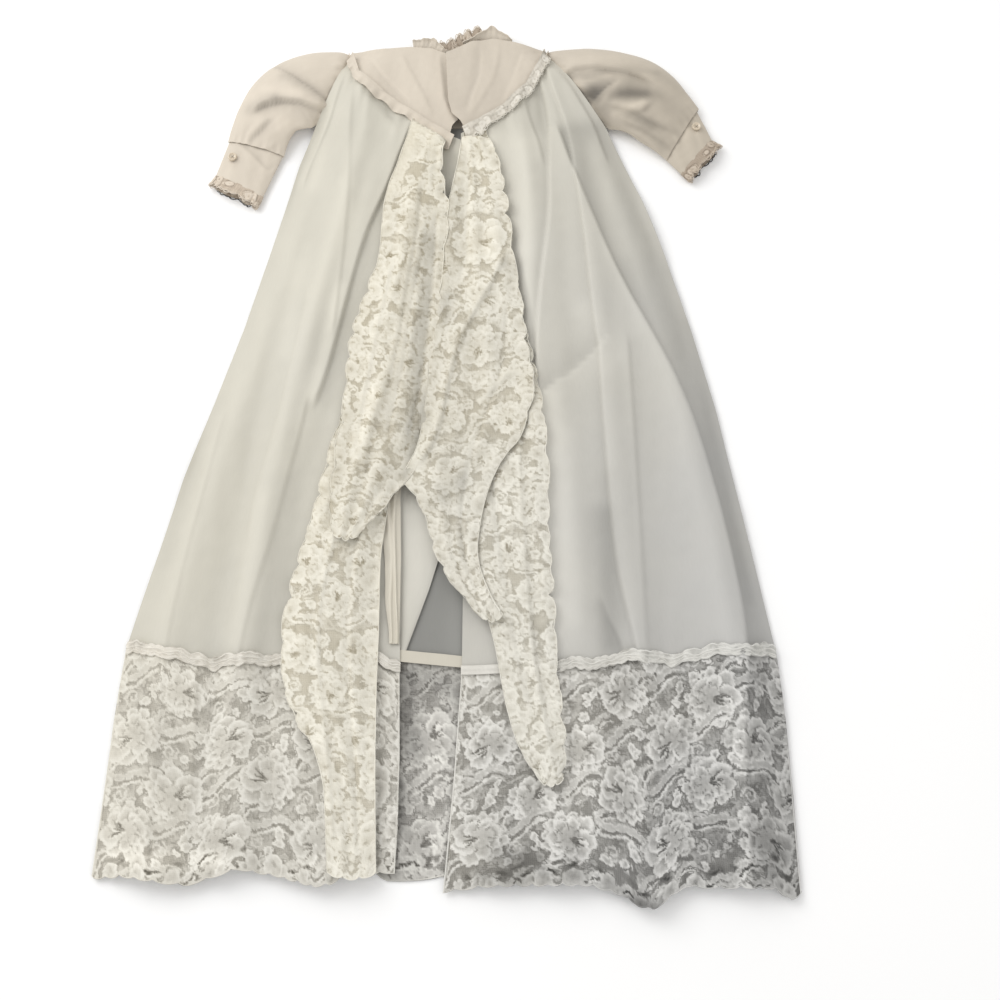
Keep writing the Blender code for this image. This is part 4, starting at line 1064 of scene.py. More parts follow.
def woven(name, warm, cool, roughness):
    """Fine plain-weave cloth with slubs, darker towards the lower right of the gown by a painted
    shade.
    """
    material, tree, shader = material_of(name)
    tone = between(tree, painted_shade_spread(tree), warm, cool)
    threads = [joined(tree, "ShaderNodeTexWave", {
        "Vector": flat_place(tree, (1.0, 1.0)), "Scale": 420.0, "Distortion": 0.6, "Detail": 1.0},
        bands_direction=direction).outputs["Fac"] for direction in ("X", "Y")]
    slub = noise(tree, (900.0, 90.0))
    relief = joined(tree, "ShaderNodeMath", {0: threads[0], 1: threads[1]}, operation="MAXIMUM")
    finish(tree, shader, tone, sum_of(tree, slub, 0.06, 0.97),
           sum_of(tree, slub, 1.0, relief.outputs[0]), 0.10, roughness, 0.1)
    return material


# Colours of a lace, each for the top left and the lower right of the gown, the lower right ones
# darker by a painted shade
LaceTones = namedtuple("LaceTones", "hole thread fill cord dark")


def laced(name, tones, cell=0.0017):
    """Lace: fine net, whose point value worked turns it into close weave and cord, or a hole."""
    material, tree, shader = material_of(name)
    spread = painted_shade_spread(tree)
    tone = {key: between(tree, spread, *pair) for key, pair in tones._asdict().items()}
    cells = joined(tree, "ShaderNodeTexVoronoi", {"Vector": flat_place(tree, (1 / cell, 1 / cell)),
                                                  "Scale": 1.0, "Randomness": 0.5},
                   voronoi_dimensions="2D", feature="DISTANCE_TO_EDGE")
    mesh = joined(tree, "ShaderNodeMapRange", {"Value": cells.outputs["Distance"], "From Min": 0.08,
                                               "From Max": 0.30, "To Min": 1.0, "To Max": 0.0})
    mesh = mesh.outputs[0]
    cloudy = noise(tree, (75.0, 95.0), 3.0)
    dense = sum_of(tree, cloudy, 1.4, sum_of(tree, mesh, 0.5, -0.42), True)
    ground = mixed(tree, dense, tone["hole"], tone["thread"])
    worked = joined(tree, "ShaderNodeAttribute", attribute_name="worked").outputs["Fac"]
    mottled = sum_of(tree, noise(tree, (210.0, 260.0), 3.0), 0.3, sum_of(tree, worked, 1.0, -0.15))
    for key, start, end in (("fill", 0.05, 0.5), ("cord", 0.5, 1.0), ("dark", -0.10, -0.9)):
        share = joined(tree, "ShaderNodeMapRange", {"Value": mottled, "From Min": start,
                                                    "From Max": end}).outputs[0]
        ground = mixed(tree, share, ground, tone[key])
    finish(tree, shader, ground, sum_of(tree, mesh, 0.05, 0.96), mesh, 0.15, 0.82, 0.1)
    return material


def clouded(name, scale, first, second, roughness, coat=0.0):
    """A smooth surface that is faintly mottled between two colours."""
    material, tree, shader = material_of(name)
    place = joined(tree, "ShaderNodeTexCoord").outputs["Object"]
    cloud = joined(tree, "ShaderNodeTexNoise", {"Vector": place, "Scale": scale}).outputs[0]
    tree.links.new(between(tree, cloud, first, second), shader.inputs["Base Color"])
    shader.inputs["Roughness"].default_value = roughness
    shader.inputs["Coat Weight"].default_value = coat
    return material


# Each pair of colours runs from the top left of the gown to its lower right, where a painted shade
# makes it darker
MATERIALS = {
    "skirt": woven("skirt_weave", (198, 194, 181), (184, 183, 180), 0.62),
    # The back shows only in the shaded opening between the fronts: its cloth is painted darker than
    # the skirt's, a painted shade
    "back": woven("back_weave", (140, 139, 134), (132, 132, 129), 0.66),
    "yoke": woven("yoke_weave", (206, 196, 181), (192, 181, 162), 0.66),
    "band": woven("band_weave", (204, 197, 181), (200, 196, 184), 0.50),
    "hem_lace": laced("hem_lace", LaceTones(
        hole=((166, 161, 148), (98, 97, 94)), thread=((192, 186, 173), (132, 131, 128)),
        fill=((212, 207, 194), (172, 171, 168)), cord=((229, 225, 213), (214, 213, 210)),
        dark=((106, 101, 89), (50, 49, 47)))),
    "back_lace": laced("back_lace", LaceTones(
        hole=((120, 116, 108), (94, 93, 90)), thread=((160, 156, 148), (128, 127, 124)),
        fill=((178, 174, 166), (156, 155, 152)), cord=((210, 207, 198), (188, 187, 183)),
        dark=((80, 76, 68), (60, 58, 55)))),
    "ruffle_lace": laced("ruffle_lace", LaceTones(
        hole=((182, 173, 151), (168, 165, 155)), thread=((200, 192, 172), (186, 183, 174)),
        fill=((216, 210, 193), (205, 203, 195)), cord=((228, 223, 208), (224, 222, 214)),
        dark=((146, 135, 110), (128, 124, 114)))),
    "band_lace": laced("band_lace", LaceTones(
        hole=((180, 172, 158), (152, 151, 147)), thread=((200, 194, 181), (178, 177, 173)),
        fill=((211, 205, 193), (197, 196, 191)), cord=((222, 217, 206), (217, 216, 211)),
        dark=((158, 150, 135), (132, 130, 124))), 0.0012),
    "aged_lace": laced("aged_lace", LaceTones(
        hole=((132, 113, 95), (78, 64, 54)), thread=((188, 173, 155), (130, 114, 98)),
        fill=((204, 191, 174), (146, 131, 115)), cord=((216, 205, 190), (176, 160, 142)),
        dark=((84, 66, 54), (58, 44, 36))), 0.0013),
}
PEARL = clouded("button_pearl", 420.0, (196, 181, 158), (213, 200, 180), 0.28, 0.4)
PALE_FLOOR = clouded("pale_floor", 3.0, (248, 248, 248), (251, 251, 251), 0.9)


def settle(piece, slot_name, *nodes):
    """A piece rides on the gown's one body and stands for the named solids."""
    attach(piece, "root")
    if nodes:
        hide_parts(*nodes)
    return piece


def spread_cloth(name, points, material, slot_name, nodes, flat, shade=0.0,
                 thickness=CLOTH, lower=None):
    """A plain cloth under a grid of points, as a closed shell on the gown's body in place of the
    named solids.
    """
    drape = Drape(points, shade)
    piece = settle(drape.shell(name, thickness, MATERIALS[material], lower), slot_name, *nodes)
    flat = flat or (drape.wide, drape.deep)


def lace(name, drape, nodes, work, material, step, seed, lower=None, shell=None):
    """A draped net with the motifs and threads that work puts on it. The net is the drape's own
    shell where no other is given. Aged lace is even and in high relief."""
    weave, cords = Weave(drape.wide, drape.deep, step, seed), Cords()
    if name in COVERS:
        drape.hidden = Solids(*COVERS[name]).covered(drape.points)
    work(weave, cords, drape)
    slot_name, relief = "aged_lace", 0.0008
    if material != slot_name:
        weave.roughen(min(0.0008, drape.deep / 60))
        slot_name, relief = "lace", 0.0004
    look = MATERIALS[material]
    net = shell(name, look, weave) if shell else drape.shell(name, NET, look, lower, weave)
    settle(net, slot_name, *nodes)
    extras = [weave.layer(name + "_motifs", drape, look, relief)]
    if cords.count:
        extras.append(cords.draped(name + "_threads", drape, look))
    for extra in extras:
        settle(extra, slot_name)


def hem_rows(weave, shift):
    """Rows of blossoms, ribbons and tendrils for a deep lace."""
    random = weave.random
    wide = weave.a[-1]
    for row, b in enumerate(HEM_ROWS):
        start = (0.30 + 0.5 * (row % 2) + shift) * LACE_PITCH
        for k in range(-1, int(wide / LACE_PITCH) + 2):
            a = start + k * LACE_PITCH
            sway = random.uniform(-0.006, 0.006, 2)
            weave.leaf((a + 0.48 * LACE_PITCH, b - 0.014 + sway[1]), 0.060,
                       random.uniform(-0.3, 0.5))
            weave.leaf((a - 0.30 * LACE_PITCH, b + 0.027), 0.044, random.uniform(-0.9, 0.0))
            weave.scroll((a + 0.38 * LACE_PITCH, b + 0.008), 0.015, random.uniform(0, 6))
            for place, drop in HEM_PETALS:
                weave.petal((a + LACE_PITCH * place, b + drop) + random.uniform(-0.004, 0.004, 2),
                            random.uniform(0.007, 0.014), random.uniform(0, 6), 0.65, 0.2)
            weave.flower((a + sway[0], b + sway[1]), FLOWER * random.uniform(0.9, 1.15),
                         random.uniform(-0.7, 0.7) + (0 if (row + k) % 2 else math.pi))


def hem_work(weave, cords, drape):
    """A deep lace over a faint second one, with its scalloped and corded lower edge."""
    wide, deep = drape.wide, drape.deep
    hem_rows(weave, 0.33)
    weave.faint(0.42, 0.016)
    hem_rows(weave, 0.0)
    random = weave.random
    for k in range(int(wide / 0.030) + 1):
        a, b = (k + random.uniform(0.2, 0.8)) * 0.030, deep - random.uniform(0.006, 0.020)
        for _ in range(2):
            spot = np.array((a, b)) + random.uniform(-0.010, 0.010, 2)
            way = random.uniform(-0.006, 0.006, 2) * (1.0, 0.6)
            weave.stroke((spot - way, spot + (0.0, 0.001), spot + way), (0.002, 0.004, 0.0015),
                         random.uniform(-0.9, -0.3), None, 0.0015)
        weave.leaf((a + 0.012, b + 0.004), 0.044, random.uniform(-0.5, 0.5), 0.13,
                   -0.95 if k % 3 else -0.3)
    for a in np.sort(random.uniform(0, wide, int(wide / 0.016))):
        weave.petal((a, deep - random.uniform(0.000, 0.010)), random.uniform(0.010, 0.024), 1.57,
                    random.uniform(0.6, 1.0), random.uniform(0.0, 0.4), random.uniform(0.7, 1.0))
    edge = np.linspace(0, wide, 60)
    for a, b in zip(edge[:-1], edge[1:]):
        if random.uniform() < 0.4:
            weave.stroke(((a, deep - 0.001), (b, deep - 0.001)), random.uniform(0.001, 0.004), 0.7)
    cords.across(wide, deep - 0.0006, 400, 0.0008)
    for a in (0.0006, wide - 0.0006):
        cords.run(((a, 0.0), (a, deep / 2), (a, deep)), 0.0014)


def front_grid(side, part):
    """The plan grid of a skirt or of its hem lace, from left to right."""
    front = FRONTS[side]
    if part == "skirt":
        free = front.free.copy()
        if side == "left":
            free[:, 0] += 0.010 * smooth((free[:, 1] - 0.25) / 0.10)
        seam = np.vstack((front.yoke[:-1], free[:1]))
        plan = patch(front.outer, free, seam, front.hem, *map(even, GRIDS["skirt"]))
    else:
        u, v = map(even, GRIDS["hem_lace"])
        seam = front.hem - (0, SEAM)
        plan = patch(front.lace_outer, front.lace_free, seam, front.lace_edge, u, v)
        width = abs(front.lace_edge[0][0] - front.lace_edge[-1][0])
        bite = np.sin(np.pi * u * width / EDGE_SCALLOP + 2 * np.sin(9 * u))
        drop = EDGE_SCALLOP_DEPTH * np.sqrt(np.abs(bite))
        plan[..., 1] -= drop[None] * np.clip((v[:, None] - 0.9) / 0.1, 0, 1)
    return plan if side == "left" else plan[:, ::-1]


def drape_front(side, part, passes, net=None):
    """Points of a front or of its lace, from the frame's solids and the front's folds, and their
    painted shade, with what the painted pools of a net add to it."""
    plan = front_grid(side, part)
    x, y = plan[..., 0], plan[..., 1]
    front = FRONTS[side]
    folds, shade = edge_folds(side + "_skirt", plan)
    if net:
        shade += edge_folds(net, plan)[1]
    free = x_at(np.vstack((front.free, front.lace_free[1:])), y)
    outer = x_at(np.vstack((front.outer, front.lace_outer[1:])), y)
    folds *= smooth(front.sign * (x - free) / 0.012) * smooth(front.sign * (outer - x) / 0.012)
    random = np.random.default_rng(31)
    for place in np.arange(0.08, 0.95, 0.085):
        start = along(front.yoke, place)
        below = start[1] - y
        width = 0.006 * (1 + 6 * np.maximum(below, 0))
        fade = (1 - smooth(below / random.uniform(0.05, 0.11))) * smooth(below / 0.006 + 0.5)
        line = start[0] + front.sign * random.uniform(0.02, 0.22) * below
        folds += random.uniform(-0.0010, 0.0012) * fade * bump(x - line, width, width)
    folds += (0.00045 * ripple(plan, 0.055, 3) + 0.00018 * ripple(plan, 0.018, 5)
              + 0.00030 * ripple(plan * (1.0, 0.25), 0.020, 4))
    height = top_of(plan, passes, f"front_skirt_{side}", f"hem_lace_{side}",
                    f"front_yoke_{side}") + folds
    return np.dstack((plan, np.maximum(height, FRONT_LEAST))), shade


def make_fronts():
    for side in SIDES:
        points, shade = drape_front(side, "skirt", 24)
        spread_cloth(f"{side}_skirt", points, "skirt", "skirt_cloth", [f"front_skirt_{side}"],
                     SKIRT_FLAT[side], shade)
        name = f"{side}_hem_net"
        points, shade = drape_front(side, "lace", 9, name)
        lace(name, Drape(points, shade), [f"hem_lace_{side}"], hem_work,
             "hem_lace", HEM_STEP, 11 + SIDES.index(side))


def make_front_yokes():
    for side in SIDES:
        top, edge = map(mm, YOKES[side])
        seam = np.vstack((FRONTS[side].yoke[:-1] + (0, SEAM), edge[:1]))
        u, v = map(even, GRIDS["yoke"])
        plan = patch(np.array((seam[0], top[0])), edge, seam, top, u, v)
        folds, shade = edge_folds(side + "_yoke", plan)
        height = top_of(plan, 8, f"front_yoke_{side}") + folds
        height += 0.0005 * ripple(plan * (1.0, 0.4), 0.022, 7) + 0.0002 * ripple(plan, 0.009, 8)
        if side == "right":
            height += 0.0026 * np.exp(-(1 - u[None]) / 0.10)
        # The yoke takes half of its side's painted shade
        spread_cloth(f"{side}_yoke", np.dstack((plan, height)), "yoke", "yoke_cloth",
                     [f"front_yoke_{side}"], YOKE_FLAT,
                     shade + SIDE_SHADE[side] / 2)
        make_collar(side)
        make_yoke_edge(side)


def make_yoke_edge(side):
    """The trim along the lower edge of a yoke: a folded band on the left, gathered lace on the
    right."""
    front = FRONTS[side]
    u, v = map(even, GRIDS["yoke_edge"])
    middle = along(front.yoke, 0.03 + (0.94 if side == "right" else 0.97) * u)
    part = 0.40 - v[:, None]
    wave = np.sin(11 * u + 3 * np.sin(7 * u)) + 0.6 * np.sin(37 * u)
    x = middle[None, :, 0] - front.sign * part * YOKE_LACE_WIDTH * 0.5
    sway = 0.20 if side == "left" else 0.10
    y = middle[None, :, 1] + (part - sway * wave * v[:, None]) * YOKE_LACE_WIDTH * 0.85
    y -= 0.007 * smooth((u - 0.80) / 0.12) * v[:, None] * (1 + 0.4 * np.sin(60 * u))
    plan = np.dstack((x, y))
    height = top_of(plan, 3, f"yoke_lace_{side}") + 0.0004 * ripple(plan, 0.012, 21)
    height += 0.0010 * bump(v - 0.3, 0.25, 0.3)[:, None] + 0.0005 * np.sin(90 * u) * v[:, None]
    points = np.dstack((plan, height))
    if side == "right":
        lace("right_yoke_net", Drape(points), ["yoke_lace_right"], narrow_work,
             "band_lace", YOKE_STEP, 5)
    else:
        # Painted shade along the band's lower edge, following its waves
        spread_cloth("left_yoke_band", points, "yoke", "lace", ["yoke_lace_left"], None,
                     0.04 * np.abs(wave)[None] * v[:, None], NET)


def narrow_work(weave, cords, drape):
    """A row of small blossoms with loops along the lower edge."""
    wide, deep = drape.wide, drape.deep
    random = weave.random
    weave.value += 0.3
    for a in np.sort(random.uniform(0, wide, int(wide / 0.0056))):
        weave.petal((a, deep * random.uniform(0.3, 0.85)),
                    random.uniform(0.4, 0.85) * min(0.012, deep), random.uniform(0, 6), 0.8,
                    random.uniform(0.2, 0.8), random.uniform(0.6, 1.0))
    cords.across(wide, deep - 0.0005, 240, 0.0013)
    cords.loops(((0.0, deep), (wide, deep)), 0.0042, 1, 0.0015)


def make_collar(side):
    """The edge of a neckline that stands up and turns outward."""
    foot, tips, tall = COLLARS[side]
    u, v = map(even, GRIDS["collar"])
    foot, tips = along(foot, u)[None], along(tips, u)[None]
    plan = foot + (tips - foot) * v[:, None, None] + (0.0, 2 * SEAM)
    rise = tall * np.sin(np.pi * (0.08 + 0.84 * u)) ** 0.7
    flutter = 0.0009 * np.sin(2 * np.pi * u * 3.5 + 1.0) + 0.0005 * np.sin(2 * np.pi * u * 8)
    lip = 0.0012 * bump(v - 1.0, 0.25, 0.1)[:, None]
    height = COLLAR_FOOT + v[:, None] * (rise + flutter) + lip
    spread_cloth(f"{side}_collar", np.dstack((plan, height)), "yoke", "yoke_cloth",
                 [f"collar_{side}"], COLLAR_FLAT)


def make_headings():
    """The narrow gathered braid over the seam of the hem lace. Near the right front's free edge
    it is a plain turned band."""
    for side in SIDES:
        front = FRONTS[side]
        u, v = map(even, GRIDS["heading"])
        middle = along(front.hem, u)
        frilled = 1 - smooth((u - 0.80) / 0.04) if side == "right" else 1.0
        bite = np.abs(np.sin(np.pi * (u * 27 + np.sin(11 * u)))) ** 0.6 * frilled
        wander = (0.0018 * np.sin(23 * u + 2 * np.sin(9 * u)) + 0.0010 * np.sin(71 * u)) * frilled
        y = middle[None, :, 1] + wander + (0.5 - v[:, None]) * (HEADING_WIDTH + 0.0035 * bite)
        plan = np.dstack((np.broadcast_to(middle[None, :, 0] - front.sign * 0.0008, y.shape), y))
        pucker = 0.0006 * np.sin(110 * u + 5 * np.sin(17 * u)) * frilled
        ridge = 0.0008 * bump(v - 0.35, 0.3, 0.3)
        height = top_of(plan, 3, f"hem_heading_{side}") + ridge[:, None] + pucker[None]
        points = np.dstack((plan, height))
        if side == "right":
            points = points[:, ::-1]
        lace(f"{side}_heading", Drape(points), [f"hem_heading_{side}"], heading_work,
             "band_lace", HEADING_STEP, 21 + SIDES.index(side))


def heading_work(weave, cords, drape):
    """Close weave with uneven small petals, and wavy cords along a braid."""
    wide, deep = drape.wide, drape.deep
    plain = 0.2 * wide if drape.points[0, 0, 0] > 0 else 0.0
    weave.value += 0.35
    if plain:
        weave.value[:, weave.a < plain] = 0.8
    a = np.linspace(plain, wide, 200)
    for b, pace in ((0.12, 170), (0.42, 130), (0.66, 240), (0.88, 210)):
        sway = np.sin(pace * a + 2 * np.sin(60 * a + b)) + 0.6 * np.sin(2.3 * pace * a)
        line = np.column_stack((a, deep * b + 0.0009 * sway))
        cords.run(line, 0.0015)
        for k in range(0, 190, 14):
            weave.stroke(line[k:k + weave.random.integers(6, 16)], 0.0022, 0.9)


def ruffle_grid(name):
    """The plan of a ruffle from left to right, with its scalloped edges."""
    ruffle = RUFFLES[name]
    rows = mm(ruffle.rows)
    count = int((rows[0, 0] - rows[-1, 0]) / RUFFLE_ROW)
    y = np.linspace(rows[0, 0], rows[-1, 0], count)
    edges = []
    for column, scallops, way in ((1, ruffle.left_scallops, -1), (2, ruffle.right_scallops, 1)):
        edge = relax(np.interp(-y, -rows[:, 0], rows[:, column])[:, None], 25)[:, 0]
        start, end = mm(scallops)
        shown = smooth((start - y) / 0.02 + 0.5) * smooth((y - end) / 0.02 + 0.5)
        big = np.abs(np.sin(np.pi * (y - 0.4) / RUFFLE_SCALLOP + 1.3 * np.sin(31 * y + column)))
        small = np.abs(np.sin(np.pi * y / 0.0085 + 2 * np.sin(50 * y)))
        bite = (0.0045 + 0.0015 * np.sin(47 * y)) * np.sqrt(big) + 0.0012 * np.sqrt(small)
        edges.append(edge + way * bite * shown)
    u = even(RUFFLE_COLUMNS)
    x = edges[0][:, None] * (1 - u) + edges[1][:, None] * u
    ending = smooth((even(count) - 0.90) / 0.10)
    lip = 0.005 * np.sin(np.pi * u) + 0.003 * np.sqrt(np.abs(np.sin(3 * np.pi * u)))
    return np.dstack((x, y[:, None] - ending[:, None] * lip))


def loose_folds(plan, seed):
    """What some folds down a ruffle, its waves and its flaring edges add to its heights."""
    rows, columns = plan.shape[:2]
    u, v = even(columns)[None], even(rows)[:, None]
    random = np.random.default_rng(seed)
    wide = np.clip((plan[:, -1:, 0] - plan[:, :1, 0]) / 0.08, 0.1, 1.2)
    folds = []
    for _ in range(7):
        at, lean, bend, start, length = random.uniform((0.06, -0.3, 0, 0.05, 0.2),
                                                       (0.94, 0.3, 6, 0.75, 0.5))
        line = at + lean * (v - start) + 0.05 * np.sin(5 * v + bend)
        part = np.clip((v - start) / length, 0, 1)
        tall = random.uniform(0.0006, 0.0014) * np.sin(np.pi * part) * wide
        folds.append(tall * bump(u - line, random.uniform(0.12, 0.25), 0.10))
    folds.append(0.0006 * ripple(plan, 0.018, seed + 10))
    flare = np.sin(2 * np.pi * plan[..., 1] / RUFFLE_SCALLOP + 1.0) * 0.0009
    folds.append(flare * (np.exp(-u / 0.08) + np.exp(-(1 - u) / 0.08)))
    return folds


def tucked(plan, height, side):
    """The heights of a ruffle with its upper end under the yoke and its trim."""
    sign, yoke = FRONTS[side].sign, FRONTS[side].yoke
    over = plan[..., 1] - np.interp(plan[..., 0] * sign, *(yoke[::sign] * (sign, 1)).T)
    below = Solids(f"front_yoke_{side}", f"yoke_lace_{side}").top(plan) - UNDER_YOKE
    return height + smooth((over + 0.009) / 0.004) * (np.minimum(height, below) - height)


def make_ruffles():
    for seed, name in enumerate(RUFFLES, 40):
        plan = ruffle_grid(name)
        side, place = name.split("_")
        label = name + "_ruffle"
        height = top_of(plan, 8, f"ruffle_{name}")
        for fold in loose_folds(plan, seed):
            height += fold
        folds, shade = edge_folds(label, plan)
        height = tucked(plan, height + folds, side)
        shade += RUFFLE_SHADE[name] * smooth(even(len(plan))[:, None] / 0.9) ** 2
        lace(label, Drape(np.dstack((plan, height)), shade, cut=True), [f"ruffle_{name}"],
             ruffle_work(label), "ruffle_lace", RUFFLE_STEP, seed)


def ruffle_work(label):
    """Blossoms, leaves and uneven edges down a ruffle, and its border along its folds."""
    def work(weave, cords, drape):
        random = weave.random
        wide, deep = drape.wide, drape.deep
        across, down = RUFFLE_PITCH
        for faint in (True, False):
            for b in np.arange(0.0, deep + 0.02, down):
                for a in np.arange(0.0, wide + 0.03, across):
                    shift = across / 2 * (round(b / down) % 2)
                    place = np.array((a + shift, b)) + random.uniform(-0.006, 0.006, 2)
                    weave.leaf(place + (0.022, 0.014), 0.042, random.uniform(-0.6, 0.9))
                    weave.scroll(place + (0.020, -0.012), 0.013, random.uniform(0, 6))
                    weave.petal(place + (0.026, 0.002), 0.011, random.uniform(0, 6), 0.8, 0.7)
                    weave.flower(place, random.uniform(0.034, 0.043), random.uniform(0, 6))
            if faint:
                weave.faint(0.40, 0.012)
        for column, side in ((0, 1), (-1, -1)):
            path = drape.edge(column)
            for place in along(path, np.sort(random.uniform(0, 1, int(deep / 0.009)))):
                size = random.uniform(0.009, 0.021)
                weave.petal(place + (side * size * random.uniform(0.1, 0.4), 0.0), size,
                            random.uniform(0, 6), 0.85, random.uniform(0.1, 0.6),
                            random.uniform(0.7, 1.0))
            cords.run(path[::2] + (side * 0.0005, 0.0), 0.0010)
        low = drape.edge(0)[-1], drape.edge(-1)[-1]
        cords.run(along(low, even(60)), 0.0013)
        for edge in EDGES[label]:
            path = drape.flat_of(along(mm(edge.line), even(120)))
            t = np.arange(120)
            path[:, 0] -= edge.side * (0.0018 + 0.0008 * np.sin(t * 0.7))
            width = 0.0036 + 0.0016 * np.sin(t * 0.7 + np.sin(t * 0.23))
            weave.stroke(path, width, 0.9, 0.75, 0.002)
        if label == "left_inner_ruffle":
            grid = weave.places()
            slant = grid[..., 1] + 1.6 * (grid[..., 0] - drape.a[40, 0])
            far = slant - 0.016 * ripple(grid, 0.03, 8)
            weave.value += (0.45 - weave.value) * (1 - smooth((far - 0.085) / 0.050))
        if label == "right_inner_ruffle":
            for x, y, size, turn in BLOSSOMS:
                centre, size = drape.flat_of(mm(((x, y),)))[0], size / 1000
                part, right, below = weave.near(centre, 0.75 * size)
                away = np.hypot(right, below) - 0.56 * size
                weave.work(part, 0.0, 0.85 * smooth(0.5 - away / 0.008))
                weave.flower(centre, size, turn)
    return work


def across_gown(piece, top, bottom):
    """The plan grid of a piece from one side of the gown to the other, between two heights."""
    columns, rows = GRIDS[piece]
    u, y = even(columns), np.linspace(top, bottom, rows)
    left, right = sides_at(y)
    return np.dstack((left[:, None] * (1 - u) + right[:, None] * u, y[:, None] + 0 * u))


def sides_at(y):
    """Where the two outer edges of the fronts are at heights y."""
    return [x_at(np.vstack((front.outer, front.lace_outer[1:])), y) for front in FRONTS.values()]


def floor_sheet(name, plan, material, slot_name, node, flat, seed):
    """A cloth that lies flat on the floor."""
    lower = np.dstack((plan, np.zeros(plan.shape[:-1])))
    rise = BACK_TOP - 0.0001 * (1 + ripple(plan, 0.03, seed))
    upper = lower + (0.0, 0.0, 1.0) * rise[..., None]
    shade = edge_folds(name, plan)[1]
    spread_cloth(name, upper, material, slot_name, [node], flat, shade, 0.0, lower)


def make_back_panels():
    plan = across_gown("back_panel", BACK_YOKE_SEAM, BACK_HEM)
    floor_sheet("back_panel", plan, "back", "skirt_cloth", "back_skirt",
                (BACK_WIDTH, BACK_YOKE_SEAM - BACK_HEM), 61)
    seam_y = BACK_YOKE_SEAM + SEAM / 2
    left, right = [np.array(((x, seam_y), front.outer[0]))
                   for x, front in zip(sides_at(seam_y), FRONTS.values())]
    neck = np.vstack((left[1:], BACK_NECK[1:-1], right[1:]))
    plan = patch(left, right, (left[0], right[0]), neck, *map(even, GRIDS["back_yoke"]))
    floor_sheet("back_yoke_panel", plan, "yoke", "yoke_cloth", "back_yoke", BACK_YOKE_FLAT, 62)


def make_back_lace():
    """The lace along the back hem, flat on the floor. Its scallops are drawn in where the front
    laces lie over it."""
    plan = across_gown("back_lace", BACK_HEM - SEAM / 2, BACK_LACE_EDGE)
    x, y = plan[..., 0], plan[..., 1]
    drop = SCALLOP_DEPTH * np.sqrt(np.abs(np.sin(np.pi * x / SCALLOP)))
    low = np.clip((even(len(y))[:, None] - 0.8) / 0.2, 0, 1)
    hidden = 0.010 * low * (smooth((-0.05 - x) / 0.02) + smooth((x - 0.02) / 0.02))
    floor = np.dstack((x, y - drop * low + hidden, 0 * x))
    shade = edge_folds("back_net", floor[..., :2])[1]
    lace("back_net", Drape(floor + (0.0, 0.0, BACK_LACE_TOP), shade), ["back_lace"], hem_work,
         "back_lace", BACK_STEP, 13, floor)


def make_back_fold():
    """The fold of the back that shows in the opening of the fronts."""
    u, v = map(even, GRIDS["back_fold"])
    left, right = BACK_FOLD
    plan = patch(left, right, (left[0], right[0]), (left[-1], right[-1]), u, v)
    height = 0.0021 + 0.0022 * smooth(u / 0.8)[None] * smooth(v / 0.2)[:, None]
    height = height - 0.0006 * smooth((u - 0.9) / 0.1)[None] + 0.0002 * ripple(plan, 0.02, 65)
    # Painted light on the fold's left part, and painted shade growing towards its lower right
    shade = -0.17 + 0.26 * u[None] * smooth((v[:, None] - 0.3) / 0.7)
    spread_cloth("back_fold", np.dstack((plan, height)), "skirt", "skirt_cloth", [],
                 BACK_FOLD_FLAT, shade, NET)


def make_hem_band():
    """The turned-up strip inside the back hem, slightly aslant."""
    low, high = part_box("back_hem_band")
    columns, rows = GRIDS["hem_band"]
    x = np.linspace(low[0], high[0], columns) + MIDDLE[0]
    y = np.linspace(high[1], high[1] - HEM_BAND_WIDTH, rows) + MIDDLE[1]
    plan = np.stack(np.meshgrid(x, y), axis=-1)
    plan[..., 1] -= 0.10 * (x - x[0]) - 0.0095
    height = high[2] + 0.0016 + 0.0003 * ripple(plan, 0.02, 66)
    spread_cloth("hem_band", np.dstack((plan, height)), "band", "satin_band", ["back_hem_band"],
                 None, 0.03, NET)


def make_placket():
    """The doubled strip down the lower part of the left front edge, in two lengthwise folds."""
    columns, rows = GRIDS["placket"]
    y = np.linspace(*PLACKET_REACH, rows)
    free = x_at(FRONTS["left"].free, y)
    part = 1 - even(columns)
    wide = (PLACKET_WIDTH + 0.004 * np.sin((y + 0.03) * 26)) * (
        0.55 + 0.45 * smooth((y - PLACKET_REACH[1]) / 0.05))
    plan = np.dstack((free[:, None] - 0.0008 - part * wide[:, None], y[:, None] + 0 * part))
    height = top_of(plan, 4, "placket_left")
    sway = 0.10 * np.sin(y * 30)[:, None]
    fold = bump(part[None] - 0.66 - sway, 0.14, 0.26), bump(part[None] - 0.24 + sway, 0.10, 0.24)
    height += 0.0014 * fold[0] + 0.0020 * fold[1] + 0.0002 * ripple(plan, 0.02, 67)
    # Painted shade between the strip's two folds, and painted light over all of it
    spread_cloth("left_placket", np.dstack((plan, height)), "band", "satin_band", ["placket_left"],
                 (PLACKET_WIDTH * 1.3, PLACKET_REACH[0] - PLACKET_REACH[1]),
                 0.10 * (1 - np.clip(fold[0] + fold[1], 0, 1)) - 0.08)


def make_neck_lace():
    """The narrow browned lace that stands behind the neck."""
    u, v = map(even, GRIDS["neck_lace"])
    base = along(NECK_LACE_BASE, u)
    wave = np.abs(np.sin(np.pi * 5 * u)) ** 0.7
    part = v[:, None]
    x = base[None, :, 0] - part * NECK_LACE_WIDTH * 0.45
    y = base[None, :, 1] + part * NECK_LACE_WIDTH * (0.70 + 0.35 * wave) + SEAM
    height = 0.0010 + part * (0.004 + 0.003 * wave) + 0.0004 * np.sin(2 * np.pi * 14 * u) * part
    lace("neck_net", Drape(np.dstack((x, y, height))), ["neck_lace"], narrow_work,
         "aged_lace", AGED_STEP, AGED_SEED)


